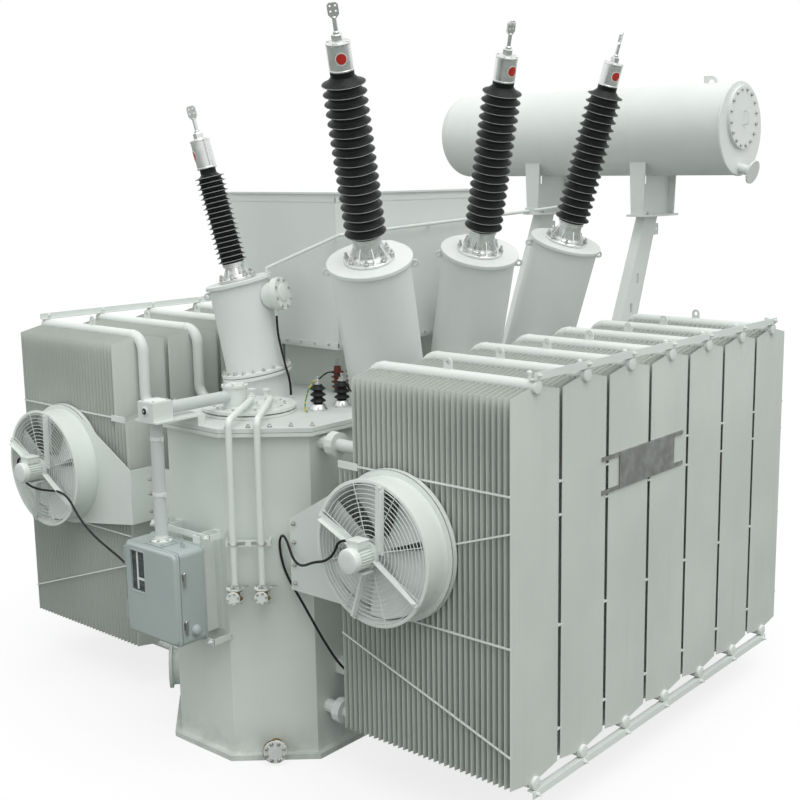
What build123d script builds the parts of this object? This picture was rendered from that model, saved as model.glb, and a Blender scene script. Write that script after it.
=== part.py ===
"""Oil-filled power transformer with two radiator banks, leaning bushings and a conservator.

Millimetres, +Z up. The origin is the centre of the underside of the tank's base.
The tank's long axis is Y: the tap changer and the cabinet are at the near end (-Y),
the conservator at the far end (+Y), and one radiator bank stands at each side (+X, -X).
"""

import os
from math import cos, pi, radians, sin, sqrt, tan

from build123d import *

os.makedirs("parts", exist_ok=True)

BOTTOM = (Align.CENTER, Align.CENTER, Align.MIN)


# Tank and cover
side_rim = 820  # half width over the edges of the base and cover
near_rim = 2246  # from the middle to the rim's near edge
far_rim = 2246
near_half = 325  # half width of the near end between its two chamfers
chamfer_run = 432  # how far each near chamfer reaches along the side
rim_overhang = 50
base_t = 40
cover_top = 2492
cover_t = 30
rim_t = 30
joint_gap = 3  # gasket line between the rim and the cover

wall_side = side_rim - rim_overhang
wall_near = near_rim - rim_overhang
rim_top = cover_top - cover_t
rim_bottom = rim_top - rim_t

# Radiators
radiator_count = 7
radiator_pitch = 556.9
fin_w = 520
fin_t = 10
fin_pitch = 45
tall_fins = 30
short_fins = 3
outer_fin_x = 2645  # outer face of the last fin
fin_bottom = 403
fin_top = 2915
short_fin_top = 2290
pipe_r = 44.5
pipe_sides = 12
cap_out = 22  # headers end beyond the last fin
elbow_x = 1268  # the upright leg of each top header
top_inlet_z = 2362
valve_near_x = 880
valve_len = 70
valve_r = 92
stub_r = 50

first_radiator_y = -radiator_pitch * (radiator_count - 1) / 2
radiator_ys = [first_radiator_y + radiator_pitch * i for i in range(radiator_count)]
header_z = fin_top + pipe_r
return_z = fin_bottom - pipe_r
header_end = outer_fin_x + cap_out
bank_front = first_radiator_y - fin_w / 2
valve_far_x = valve_near_x + valve_len
tall_inner_x = outer_fin_x - fin_pitch * (tall_fins - 1) - fin_t
inner_fin_x = tall_inner_x - fin_pitch * short_fins

# Rails and ties that hold the radiators together
rail_leg = 50
rail_t = 6
tie_h = 12
tie_t = 8
short_bar_h = 50
upper_tie_z = 2320
lower_tie_z = 1350
brace_rise = 484
upper_brace_z = 1605
lower_brace_z = 1114
plate_bar_zs = (2356, 2126)
plate_bar_y0, plate_bar_y1 = -913, 191
plate_bar_h = 30
plate_y = -318
plate_w = 747
plate_h = 252
plate_t = 4

# High-voltage bushings, each leaning its own way on a slanted turret
turret_r = 300
turret_flange_r = 322
turret_flange_t = 28
hv_tops = [(700, -1059, 3627), (700, 269, 3618), (700, 1533, 3634)]
hv_leans = [(0.17, -0.36), (0.333, -0.195), (0.342, -0.043)]
foot_r = 192
foot_t = 22
sleeve_h = 196
core_r = 105
shed_r = 152
shed_count = 17
shed_sides = 12
sheds_h = 1180
neck_r = 84
neck_h = 40
cap_r = 88
cap_h = 196
nut_r = 40
nut_h = 54
rod_r = 16
rod_h = 115
flag_w = 76
flag_h = 104
flag_taper = 26
flag_corner = 14
flag_t = 16
flag_hole_r = 7
flag_hole_pitch = 36
flag_seat = 12  # how far the flag reaches down over its rod
flag_aims = [(0.7, -0.72), (0.95, 0.3), (0.95, 0.3), (0.3, -0.95)]

# Neutral bushing on its own smaller turret
neutral_top = (-521, -1283, 3425)
neutral_lean = (-0.16, -0.165)
neutral_turret_lean = (-0.115, -0.125)  # the turret under it leans less
neutral_turret_r = 236
neutral_flange_r = 260
neutral_turret_h = 745
neutral_foot_r = 150
neutral_sleeve_h = 147
neutral_core_r = 76
neutral_shed_r = 112
neutral_shed_count = 18
neutral_sheds_h = 705
neutral_neck_r = 62
neutral_cap_r = 78
neutral_cap_h = 228

# Round terminal boxes on the turrets: box direction in plan, and depth below the turret's top
ct_box_r = 128
ct_neck_r = 104
ct_box_len = 120
ct_lid_t = 56
ct_box_drop = 170
ct_box_aims = [(-0.35, 0.94), (-0.82, 0.57), (-0.3, 0.95), (0.93, 0.37)]

# Earth bushings on the cover
earth_spots = [(390, -1325), (430, -1110)]
earth_r = 60
earth_core_r = 34
earth_h = 150
earth_sheds = 3
earth_rod_h = 60
earth_base_r = 72
earth_base_h = 50

# Tap changer head and its drive
head_y = -1662
head_r = 350
head_top = 2545
head_flange_t = 22
head_gear_y = -1800
head_gear_r = 88
head_lid_r = 97
head_lid_t = 18
drive_y = -2520
shaft_guard_r = 45
gear_w = 170
gear_h = 130
gear_z = 2635
bracket_w = 240
bracket_t = 12
bracket_foot = 60
drive_flange_r = 72
drive_flange_t = 18

bracket_z = gear_z - gear_h / 2 - bracket_t

# Control cabinet
cabinet_w = 594
cabinet_bottom = 985
cabinet_top = 1672
cabinet_front = -2640
cabinet_back = -2390
cabinet_corner = 42
cabinet_wall = 8
door_t = 34
door_gap = 5
hinge_r = 9
hinge_out = 12
knuckle_h = 110
hinge_lug_h = 30
pin_r = 4.5
pin_clear = 0.3
window_x = -140
window_z = 1466
window_w = 152
window_h = 295
glass_t = 6
frame_x = 215
frame_bar = 70
frame_wall = 8
frame_over = 60

body_front = cabinet_front + door_t + door_gap
cabinet_h = cabinet_top - cabinet_bottom
cabinet_z = (cabinet_top + cabinet_bottom) / 2
hinge_x = -cabinet_w / 2 - hinge_out
hinge_y = cabinet_front + door_t - hinge_r
knuckle_zs = [cabinet_z + up * (cabinet_h / 2 - knuckle_h * 1.25) for up in (1, -1)]

# Filter pipes down the near right chamfer: places along the chamfer's rim and on the head
filter_runs = (84, 281)
filter_starts = ((150, -1760), (225, -1640))
filter_r = 27
filter_off = 44
filter_top = 2640
filter_bottom = 1300
tap_r = 34
tap_len = 96
blank_r = 65
blank_t = 16
lever_len = 110
lever_w = 22
lever_t = 6
lever_gap = 36  # stem above the tap, so that the lever passes over the blank
lever_seat = 0.3
stem_r = 7
clamp_z = 1667
clamp_h = 45
clamp_t = 8
clamp_bite = 4  # how deep the strip is let into the pipes' backs
clamp_runs = (26, 345)
clamp_foot = 40

# Drain valve and manhole on the near chamfers
drain_z = 102
drain_r = 46
drain_len = 110
drain_blank_r = 88
drain_blank_t = 18
manhole_z = 430
manhole_r = 165
manhole_neck_r = 140
manhole_neck = 66
manhole_t = 24

# Fans on the near face of each bank
fan_z = 1852
right_fan_x = 1728
left_fan_x = -1995
fan_gap = 14.3  # between the bank and the duct's rear flange
duct_depth = 255
duct_r = 462
duct_t = 8
back_flange_r = 510
front_flange_r = 488
duct_flange_t = 8
guard_ring_w = 8
guard_rings = 4
guard_seat = 4
guard_spokes = 8
guard_spoke_w = 6
guard_t = 6
guard_inner_r = 96
arm_w = 44
arm_t = 8
motor_r = 78
motor_lip = 12
motor_reach = 220  # from the duct's front to the motor's
motor_box_w = 100
motor_box_h = 60
bore_depth = 40
shaft_r = 14
shaft_clear = 0.3
shaft_end_gap = 5
hub_r = 92
hub_len = 110
hub_setback = 50
blade_count = 6
blade_tip_gap = 10
blade_root_w = 110
blade_tip_w = 360
blade_pitch = 24
blade_t = 6
plate_setback = 45
fan_plate_t = 6
fan_plate_r = 505
right_edge_z = (1343, 1862)
left_edge_z = (1480, 1925)
right_edge_x = 755
left_edge_x = -1085
fan_bracket_t = 10
link_reach = 49  # from the chamfer's end to the plate that ties each fan bracket to the tank
seat_clear = 0.5

fan_back = bank_front - fan_gap
fan_front = fan_back - duct_depth
fan_plate_y = fan_back - plate_setback
motor_front = fan_front - motor_reach
motor_back = fan_front - guard_t - arm_t
motor_y = (motor_front + motor_back) / 2
hub_front = fan_front + hub_setback
link_y = chamfer_run - near_rim + link_reach
blade_tip_r = duct_r - blade_tip_gap
blade_shoulder = sqrt(blade_tip_r**2 - (blade_tip_w / 2 * cos(radians(blade_pitch))) ** 2)

# Conservator on two legs over the tank's far end
conservator_y = 2770
conservator_z = 4624
conservator_r = 420
vessel_x0 = -1500
vessel_x1 = 1775
dish_r = 130  # rounding of the closed end
hatch_r = 280
hatch_t = 28
hatch_up = 100
outlet_r = 45
outlet_flare_r = 78
outlet_flange_r = 108
outlet_flange_t = 16
outlet_len = 90
outlet_flare = 40
outlet_drop = 340
outlet_dip = 0.3  # how far the outlet falls for its length
eye_r = 66
eye_hole_r = 36
eye_up = 42
eye_t = 20
eye_inset = 350
saddle_xs = (-345, 875)
saddle_bottom = 3818
saddle_base_t = 20
saddle_base_w = 220
saddle_half = 290  # from under the vessel's axis to each flange
saddle_flange_top = 200
saddle_flange_foot = 130
plate_wall = 12
saddle_slot_w = 34
saddle_slot_h = 84
saddle_slot_up = 330
leg_w = 100
leg_shift = 50  # each leg stands further in than its saddle
leg_foot = (2060, 2380)
leg_head = (2630, 2860)
leg_foot_t = 20
leg_foot_over = 60
leg_slot_zs = (2950, 3230)
leg_slot_w = 44
leg_slot_h = 96
leg_lug_z = 3690
leg_lug_h = 110
leg_lug_out = 80
leg_lug_hole_r = 18

# Box over the low-voltage outlets
box_x0, box_x1 = -1205, 110
box_y0, box_y1 = -810, 1150
box_z0, box_z1 = 2862, 4092
box_lid_t = 14
box_lid_over = 14
plinth_x0, plinth_x1 = -740, -60
plinth_y0, plinth_y1 = -600, 950

# Gas pipe from the neutral turret past the box to the conservator, and its clips on the box
gas_r = 14
gas_x = 160
gas_start = (-312, -1165)
gas_rise = 3520
gas_near = (-820, 3776)
gas_far = (1724, 3886)
gas_turn = (2400, 3925)
gas_last_rise = 150
gas_clip_ys = (-500, 300, 1050)
gas_clip_w = 30
gas_valve_w = 64

# Leads: from each fan's terminal box, and from the neutral turret's terminal box to the cover
lead_d = 18
gland_r = 17
gland_len = 35
motor_gland_z = 98  # above the fan's axis
cabinet_gland = (-2445, 1345)
ct_gland_bottom = 3150
cover_gland = (-95, -1150)
lead_box = (80, 110, 110)
lead_box_at = (-1530, 640)
right_lead_points = [
    (1643, -2317, 1950), (1568, -2317, 1950), (1490, -2290, 1825), (1370, -2255, 1745), (1235, -2232, 1705),
    (1110, -2180, 1645), (1000, -2125, 1605), (915, -2078, 1590), (840, -2045, 1600), (780, -2018, 1645),
    (728, -1998, 1702), (670, -1980, 1728), (625, -1970, 1690), (612, -1962, 1610), (622, -1953, 1515),
    (650, -1943, 1425), (695, -1930, 1345), (752, -1916, 1262), (830, -1892, 1130), (925, -1862, 970),
    (1020, -1825, 820), (1080, -1765, 720), (1070, -1670, 660), (985, -1530, 640), (885, -1530, 640),
]
left_lead_points = [
    (-2080, -2317, 1950), (-2150, -2317, 1950), (-2200, -2310, 1868), (-2198, -2290, 1770), (-2110, -2270, 1702),
    (-1985, -2252, 1683), (-1850, -2243, 1695), (-1705, -2240, 1712), (-1570, -2245, 1675), (-1455, -2258, 1575),
    (-1310, -2280, 1500), (-1130, -2308, 1444), (-930, -2340, 1408), (-740, -2378, 1385), (-570, -2412, 1352),
    (-440, -2445, 1345), (-332, -2445, 1345),
]
ct_lead_points = [
    (-229, -1150, 3150), (-229, -1150, 3030), (-190, -1150, 2890), (-145, -1150, 2750), (-95, -1150, 2630),
    (-95, -1150, 2527),
]


def lean_plane(top, lean):
    """Plane across the top of a leaning turret, with its normal up the turret's axis."""
    return Plane(origin=top, z_dir=(lean[0], lean[1], 1))


def along(plane, distance):
    """Point on the plane's normal, at a distance above its origin."""
    return plane.origin + plane.z_dir * distance


def profile_plane(plane, distance=0):
    """Upright drawing plane through the leaning axis: its Y runs up the axis."""
    return Plane(origin=along(plane, distance), x_dir=plane.x_dir, z_dir=-plane.y_dir)


def facing_plane(plane, distance, aim):
    """Upright drawing plane through the leaning axis that faces an aim in plan: its Y runs up the axis."""
    level = Vector(*aim, 0)
    face = (level - plane.z_dir * level.dot(plane.z_dir)).normalized()
    return Plane(origin=along(plane, distance), x_dir=plane.z_dir.cross(face), z_dir=face)


def shed_stack(plane, distance, core, tip, count, height, neck, neck_height):
    """Stack of sheds under a plain neck, with flat facets round a leaning axis."""
    pitch = height / count
    levels = [(0, core)]
    for i in range(count):
        levels += [((i + 0.32) * pitch, tip), ((i + 1) * pitch, core)]
    with BuildPart() as stack:
        for up, radius in levels:
            with BuildSketch(plane.offset(distance + up)):
                RegularPolygon(radius, shed_sides)
        loft(ruled=True)
        with BuildSketch(plane.offset(distance + height)):
            RegularPolygon(neck, shed_sides)
        extrude(amount=neck_height)
    return stack.part


def lead(points):
    """Tube of a lead along straight runs joined by tangent arcs, each as large as its runs allow."""
    corners = [Vector(*point) for point in points]
    runs = [after - before for before, after in zip(corners, corners[1:])]
    radii = []
    for first, second in zip(runs, runs[1:]):
        half_turn = radians(first.get_angle(second) / 2)
        radii.append(0.45 * min(first.length, second.length) / tan(half_turn))
    print("lead runs", [round(run.length) for run in runs], "radii", [round(radius) for radius in radii])
    with BuildPart() as tube:
        with BuildLine() as route:
            FilletPolyline(*corners, radius=radii)
        with BuildSketch(Plane(corners[0], z_dir=runs[0])):
            Circle(lead_d / 2)
        sweep()
    length = route.wires()[0].length
    print("lead length", round(length), "volume share", round(tube.part.volume / (pi * (lead_d / 2) ** 2 * length), 4))
    return tube.part


def turned(plane, distance, points):
    """Solid turned about a leaning axis from corner points (radius, height)."""
    with BuildPart() as solid:
        with BuildSketch(profile_plane(plane, distance)):
            with BuildLine():
                Polyline(*points, close=True)
            make_face()
        revolve(axis=Axis(along(plane, distance), plane.z_dir))
    return solid.part


def plan(inset=0):
    """Outline of the cover seen from above, drawn in by an inset."""
    with BuildSketch() as outline:
        with BuildLine():
            Polyline(
                (-near_half, -near_rim),
                (near_half, -near_rim),
                (side_rim, chamfer_run - near_rim),
                (side_rim, far_rim),
                (-side_rim, far_rim),
                (-side_rim, chamfer_run - near_rim),
                close=True,
            )
        make_face()
        if inset:
            offset(amount=-inset, kind=Kind.INTERSECTION, mode=Mode.REPLACE)
    return outline.sketch


def slab(outline, bottom, thickness):
    """Plate of a plan outline, standing on a level."""
    with BuildPart() as plate:
        add(outline)
        extrude(amount=thickness)
    return plate.part.moved(Location((0, 0, bottom)))


chamfer_along = Vector(side_rim - near_half, chamfer_run, 0).normalized()
chamfer_out = Vector(chamfer_run, near_half - side_rim, 0).normalized()


def chamfer_point(run, out, z):
    """Point beside the near right chamfer: a run from its near corner, out from the rim's edge."""
    corner = Vector(near_half, -near_rim, z)
    return corner + chamfer_along * run + chamfer_out * out


hv_planes = [lean_plane(top, lean) for top, lean in zip(hv_tops, hv_leans)]
neutral_plane = lean_plane(neutral_top, neutral_lean)
neutral_turret_plane = lean_plane(neutral_top, neutral_turret_lean)


# Tank, base, rim and cover
with BuildPart() as base_plate:
    add(slab(plan(), 0, base_t))
base_plate.part.label = "base_plate"
export_step(base_plate.part, "parts/base_plate.step")

with BuildPart() as tank:
    add(slab(plan(rim_overhang), base_t, rim_top - base_t))
    add(slab(plan(), rim_bottom, rim_t - joint_gap))
    with Locations((wall_side, *lead_box_at)):
        Box(*lead_box, align=(Align.MIN, Align.CENTER, Align.CENTER))
    with BuildSketch(Plane((wall_side + lead_box[0], *lead_box_at), z_dir=(1, 0, 0))):
        Circle(gland_r)
    extrude(amount=gland_len)
tank.part.label = "tank"
export_step(tank.part, "parts/tank.step")

with BuildPart() as tank_cover:
    add(slab(plan(), rim_top, cover_t))
    with Locations((*cover_gland, cover_top)):
        Cylinder(gland_r, gland_len, align=BOTTOM)
tank_cover.part.label = "tank_cover"
export_step(tank_cover.part, "parts/tank_cover.step")

# Radiators: fins hung between two headers, with valves at the tank
for side, bank in ((1, "right"), (-1, "left")):
    for number, y in enumerate(radiator_ys, start=1):
        fin_xs = [outer_fin_x - fin_t / 2 - fin_pitch * i for i in range(tall_fins + short_fins)]
        with BuildPart() as radiator:
            with Locations([(side * x, y, fin_bottom) for x in fin_xs[:tall_fins]]):
                Box(fin_t, fin_w, fin_top - fin_bottom, align=BOTTOM)
            with Locations([(side * x, y, fin_bottom) for x in fin_xs[tall_fins:]]):
                Box(fin_t, fin_w, short_fin_top - fin_bottom, align=BOTTOM)
        radiator.part.label = f"radiator_{bank}_{number}"
        export_step(radiator.part, f"parts/radiator_{bank}_{number}.step")

with BuildPart() as headers:
    for side in (1, -1):
        for y in radiator_ys:
            with BuildLine():
                Polyline(
                    (side * header_end, y, header_z),
                    (side * elbow_x, y, header_z),
                    (side * elbow_x, y, top_inlet_z),
                    (side * valve_far_x, y, top_inlet_z),
                )
            with BuildSketch(Plane((side * header_end, y, header_z), z_dir=(-side, 0, 0))):
                RegularPolygon(pipe_r, pipe_sides)
            sweep(transition=Transition.RIGHT)
            with BuildSketch(Plane((side * valve_far_x, y, return_z), z_dir=(side, 0, 0))):
                RegularPolygon(pipe_r, pipe_sides)
            extrude(amount=header_end - valve_far_x)
headers.part.label = "headers"
export_step(headers.part, "parts/headers.step")

with BuildPart() as valves:
    for side in (1, -1):
        for y in radiator_ys:
            for z in (top_inlet_z, return_z):
                with BuildSketch(Plane((side * wall_side, y, z), z_dir=(side, 0, 0))):
                    RegularPolygon(stub_r, pipe_sides)
                extrude(amount=valve_near_x - wall_side)
                with BuildSketch(Plane((side * valve_near_x, y, z), z_dir=(side, 0, 0))):
                    RegularPolygon(valve_r, pipe_sides)
                extrude(amount=valve_len)
valves.part.label = "radiator_valves"
export_step(valves.part, "parts/radiator_valves.step")

rail_run = 2 * (radiator_ys[-1] + pipe_r)
with BuildPart() as radiator_rails:
    for side in (1, -1):
        with Locations((side * header_end, 0, header_z + pipe_r)):
            Box(rail_t, rail_run, rail_leg, align=(Align.MAX if side > 0 else Align.MIN, Align.CENTER, Align.MIN))
        with Locations((side * header_end, 0, header_z + pipe_r)):
            Box(rail_leg, rail_run, rail_t, align=(Align.MAX if side > 0 else Align.MIN, Align.CENTER, Align.MIN))
        with Locations((side * header_end, 0, return_z - pipe_r)):
            Box(rail_t, rail_run, rail_leg, align=(Align.MAX if side > 0 else Align.MIN, Align.CENTER, Align.MAX))
        with Locations((side * header_end, 0, return_z - pipe_r)):
            Box(rail_leg, rail_run, rail_t, align=(Align.MAX if side > 0 else Align.MIN, Align.CENTER, Align.MAX))
radiator_rails.part.label = "radiator_rails"
export_step(radiator_rails.part, "parts/radiator_rails.step")

brace_run = outer_fin_x - inner_fin_x
short_bar_w = fin_pitch * (short_fins + 1)
with BuildPart() as radiator_ties:
    for side in (1, -1):
        for near in (1, -1):
            for z, rise in (
                (upper_tie_z, 0),
                (lower_tie_z, 0),
                (upper_brace_z, brace_rise),
                (lower_brace_z, -brace_rise),
            ):
                with BuildSketch(Plane((side * inner_fin_x, near * bank_front, 0), x_dir=(1, 0, 0), z_dir=(0, -1, 0))):
                    with BuildLine():
                        Polyline(
                            (0, z - tie_h / 2),
                            (side * brace_run, z + rise - tie_h / 2),
                            (side * brace_run, z + rise + tie_h / 2),
                            (0, z + tie_h / 2),
                            close=True,
                        )
                    make_face()
                extrude(amount=near * tie_t)
            with Locations((side * inner_fin_x, near * bank_front, short_fin_top)):
                Box(short_bar_w, tie_t, short_bar_h,
                    align=(Align.MIN if side > 0 else Align.MAX, Align.MAX if near > 0 else Align.MIN, Align.MIN))
radiator_ties.part.label = "radiator_ties"
export_step(radiator_ties.part, "parts/radiator_ties.step")

with BuildPart() as name_plate:
    with Locations([(outer_fin_x, (plate_bar_y0 + plate_bar_y1) / 2, z) for z in plate_bar_zs]):
        Box(tie_t, plate_bar_y1 - plate_bar_y0, plate_bar_h, align=(Align.MIN, Align.CENTER, Align.CENTER))
    with Locations((outer_fin_x + tie_t, plate_y, sum(plate_bar_zs) / 2)):
        Box(plate_t, plate_w, plate_h, align=(Align.MIN, Align.CENTER, Align.CENTER))
name_plate.part.label = "name_plate"
export_step(name_plate.part, "parts/name_plate.step")

# Turrets, cut level where they stand on the cover
with BuildPart() as neutral_turret:
    with BuildSketch(neutral_turret_plane):
        Circle(neutral_turret_r)
    extrude(amount=neutral_turret_r)
    with BuildSketch(neutral_turret_plane):
        Circle(neutral_turret_r)
    extrude(amount=-1.5 * (neutral_turret_plane.origin.Z - cover_top))
    split(bisect_by=neutral_plane, keep=Keep.BOTTOM)

with BuildPart() as turrets:
    for plane in hv_planes:
        with BuildSketch(plane):
            Circle(turret_r)
        extrude(amount=-1.5 * (plane.origin.Z - cover_top))
        with BuildSketch(plane):
            Circle(turret_flange_r)
        extrude(amount=-turret_flange_t)
    add(neutral_turret.part)
    with BuildSketch(neutral_plane, neutral_turret_plane.offset(turret_flange_t - neutral_turret_h)):
        Circle(neutral_flange_r)
    extrude(amount=-turret_flange_t)
    split(bisect_by=Plane.XY.offset(cover_top), keep=Keep.TOP)
turrets.part.label = "turrets"
export_step(turrets.part, "parts/turrets.step")

# Bushings: aluminium foot, black sheds, cap with its terminal flag
with BuildPart() as bushing_feet:
    for plane, foot, core, height in [(p, foot_r, core_r, sleeve_h) for p in hv_planes] + [
        (neutral_plane, neutral_foot_r, neutral_core_r, neutral_sleeve_h)
    ]:
        add(turned(plane, 0, [(0, 0), (foot, 0), (foot, foot_t), (core, foot_t), (core, height), (0, height)]))
    with Locations([(x, y, cover_top) for x, y in earth_spots]):
        Cone(earth_base_r, earth_core_r + 8, earth_base_h, align=BOTTOM)
bushing_feet.part.label = "bushing_feet"
export_step(bushing_feet.part, "parts/bushing_feet.step")

stacks = [shed_stack(plane, sleeve_h, core_r, shed_r, shed_count, sheds_h, neck_r, neck_h) for plane in hv_planes]
stacks.append(shed_stack(neutral_plane, neutral_sleeve_h, neutral_core_r, neutral_shed_r, neutral_shed_count,
                         neutral_sheds_h, neutral_neck_r, neck_h))
with BuildPart() as insulators:
    for stack in stacks:
        add(stack)
insulators.part.label = "insulators"
export_step(insulators.part, "parts/insulators.step")

hv_cap_start = sleeve_h + sheds_h + neck_h
neutral_cap_start = neutral_sleeve_h + neutral_sheds_h + neck_h
cap_sizes = [(plane, hv_cap_start, cap_r, cap_h) for plane in hv_planes]
cap_sizes.append((neutral_plane, neutral_cap_start, neutral_cap_r, neutral_cap_h))
with BuildPart() as bushing_caps:
    for (plane, start, radius, height), aim in zip(cap_sizes, flag_aims):
        with BuildSketch(plane.offset(start)):
            Circle(radius)
        extrude(amount=height)
        with BuildSketch(plane.offset(start + height)):
            RegularPolygon(nut_r, 6)
        extrude(amount=nut_h)
        with BuildSketch(plane.offset(start + height + nut_h)):
            Circle(rod_r)
        extrude(amount=rod_h)
        with BuildSketch(facing_plane(plane, start + height + nut_h + rod_h - flag_seat, aim)):
            with BuildLine():
                Polyline(
                    (-rod_r, 0),
                    (rod_r, 0),
                    (flag_w / 2, flag_taper),
                    (flag_w / 2, flag_h - flag_corner),
                    (flag_w / 2 - flag_corner, flag_h),
                    (flag_corner - flag_w / 2, flag_h),
                    (-flag_w / 2, flag_h - flag_corner),
                    (-flag_w / 2, flag_taper),
                    close=True,
                )
            make_face()
            with Locations((0, flag_taper + (flag_h - flag_taper) / 2)):
                with GridLocations(flag_hole_pitch, flag_hole_pitch, 2, 2):
                    Circle(flag_hole_r, mode=Mode.SUBTRACT)
        extrude(amount=flag_t / 2, both=True)
bushing_caps.part.label = "bushing_caps"
export_step(bushing_caps.part, "parts/bushing_caps.step")

with BuildPart() as ct_boxes:
    for plane, reach, aim in zip(hv_planes + [neutral_plane], [turret_r] * 3 + [neutral_turret_r], ct_box_aims):
        axis_point = along(plane, -ct_box_drop)
        level = Vector(*aim, 0).normalized()
        outward = (level - plane.z_dir * level.dot(plane.z_dir)).normalized()
        with BuildSketch(Plane(axis_point, z_dir=outward)):
            Circle(ct_neck_r)
        extrude(amount=reach + ct_box_len)
        with BuildSketch(Plane(axis_point + outward * (reach + ct_box_len - ct_lid_t), z_dir=outward)):
            Circle(ct_box_r)
        extrude(amount=ct_lid_t)
        if plane is neutral_plane:
            lid = axis_point + outward * (reach + ct_box_len - ct_lid_t / 2)
            with Locations((ct_lead_points[0][0], ct_lead_points[0][1], ct_gland_bottom)):
                Cylinder(gland_r, lid.Z - ct_gland_bottom, align=BOTTOM)
        with BuildSketch(plane):
            Circle(reach)
        extrude(amount=-3 * ct_box_drop, mode=Mode.SUBTRACT)
ct_boxes.part.label = "ct_boxes"
export_step(ct_boxes.part, "parts/ct_boxes.step")

earth_stacks = []
for x, y in earth_spots:
    foot = Plane((x, y, cover_top + earth_base_h))
    earth_stacks.append(shed_stack(foot, 0, earth_core_r, earth_r, earth_sheds, earth_h, rod_r, earth_rod_h))
with BuildPart() as earth_bushings:
    for stack in earth_stacks:
        add(stack)
earth_bushings.part.label = "earth_bushings"
export_step(earth_bushings.part, "parts/earth_bushings.step")

# Tap changer head with the gear housing that its shaft enters
with BuildPart() as tapchanger_head:
    with Locations((0, head_y, cover_top)):
        Cylinder(head_r - 40, head_top - cover_top, align=BOTTOM)
    with Locations((0, head_y, head_top - head_flange_t)):
        Cylinder(head_r, head_flange_t, align=BOTTOM)
    with Locations((0, head_gear_y, head_top)):
        Cylinder(head_gear_r, gear_z - head_top + shaft_guard_r + head_lid_t, align=BOTTOM)
    with Locations((0, head_gear_y, gear_z + shaft_guard_r + head_lid_t)):
        Cylinder(head_lid_r, head_lid_t, align=BOTTOM)
tapchanger_head.part.label = "tapchanger_head"
export_step(tapchanger_head.part, "parts/tapchanger_head.step")

# Drive: gearbox on its bracket, guards round the two shafts
with BuildPart() as shaft_gearbox:
    with Locations((0, drive_y, gear_z)):
        Box(gear_w, gear_w, gear_h)
    with Locations((0, drive_y - gear_w / 2, bracket_z)):
        Box(bracket_w, gear_w / 2 - drive_y - near_rim + bracket_foot, bracket_t,
            align=(Align.CENTER, Align.MIN, Align.MIN))
    with Locations((0, -near_rim, cover_top)):
        Box(bracket_w, bracket_foot, bracket_z - cover_top, align=(Align.CENTER, Align.MIN, Align.MIN))
shaft_gearbox.part.label = "shaft_gearbox"
export_step(shaft_gearbox.part, "parts/shaft_gearbox.step")

with BuildPart() as shaft_guards:
    with Locations((0, drive_y, cabinet_top)):
        Cylinder(drive_flange_r, drive_flange_t, align=BOTTOM)
        Cylinder(shaft_guard_r, bracket_z - cabinet_top, align=BOTTOM)
    with BuildSketch(Plane((0, drive_y + gear_w / 2, gear_z), z_dir=(0, 1, 0))):
        Circle(shaft_guard_r)
    extrude(amount=head_gear_y - drive_y - gear_w / 2)
    with Locations((0, head_gear_y, gear_z)):
        Cylinder(head_gear_r, 4 * shaft_guard_r, mode=Mode.SUBTRACT)
shaft_guards.part.label = "shaft_guards"
export_step(shaft_guards.part, "parts/shaft_guards.step")

# Control cabinet, hollow behind its door, on a frame of two channels
with BuildPart() as cabinet_body:
    with BuildSketch(Plane((0, body_front, cabinet_z), x_dir=(1, 0, 0), z_dir=(0, -1, 0))):
        RectangleRounded(cabinet_w, cabinet_h, cabinet_corner)
    extrude(amount=body_front - cabinet_back)
    with BuildSketch(Plane((0, body_front, cabinet_z), x_dir=(1, 0, 0), z_dir=(0, -1, 0))):
        RectangleRounded(cabinet_w - 2 * cabinet_wall, cabinet_h - 2 * cabinet_wall, cabinet_corner - cabinet_wall)
    extrude(amount=body_front - cabinet_back + cabinet_wall, mode=Mode.SUBTRACT)
    for z in knuckle_zs:
        with BuildSketch(Plane((0, 0, z + knuckle_h / 2 + 1))):
            with Locations((hinge_x, hinge_y)):
                Circle(hinge_r)
                Rectangle(2 * hinge_r, body_front + hinge_r - hinge_y, align=(Align.CENTER, Align.MIN))
            with Locations((hinge_x - hinge_r, body_front + 2)):
                Rectangle(hinge_out + hinge_r + 2, 3 * hinge_r, align=(Align.MIN, Align.MIN))
        extrude(amount=hinge_lug_h)
        with Locations((hinge_x, hinge_y, z - knuckle_h / 2)):
            Cylinder(pin_r, knuckle_h + 2, align=BOTTOM)
    with BuildSketch(Plane((-cabinet_w / 2, *cabinet_gland), z_dir=(-1, 0, 0))):
        Circle(gland_r)
    extrude(amount=gland_len)
cabinet_body.part.label = "cabinet_body"
export_step(cabinet_body.part, "parts/cabinet_body.step")

with BuildPart() as cabinet_door:
    with BuildSketch(Plane((0, cabinet_front + door_t, cabinet_z), x_dir=(1, 0, 0), z_dir=(0, -1, 0))):
        RectangleRounded(cabinet_w, cabinet_h, cabinet_corner)
        with Locations((window_x, window_z - cabinet_z)):
            Rectangle(window_w, window_h, mode=Mode.SUBTRACT)
    extrude(amount=door_t)
    with Locations([(hinge_x, hinge_y, z) for z in knuckle_zs]):
        Cylinder(hinge_r, knuckle_h)
        Box(hinge_out + 4, hinge_r, knuckle_h, align=(Align.MIN, Align.CENTER, Align.CENTER))
        Cylinder(pin_r + pin_clear, knuckle_h + 2, mode=Mode.SUBTRACT)
cabinet_door.part.label = "cabinet_door"
export_step(cabinet_door.part, "parts/cabinet_door.step")

with BuildPart() as cabinet_window:
    with Locations((window_x, cabinet_front + door_t / 2, window_z)):
        Box(window_w, glass_t, window_h)
cabinet_window.part.label = "cabinet_window"
export_step(cabinet_window.part, "parts/cabinet_window.step")

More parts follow.
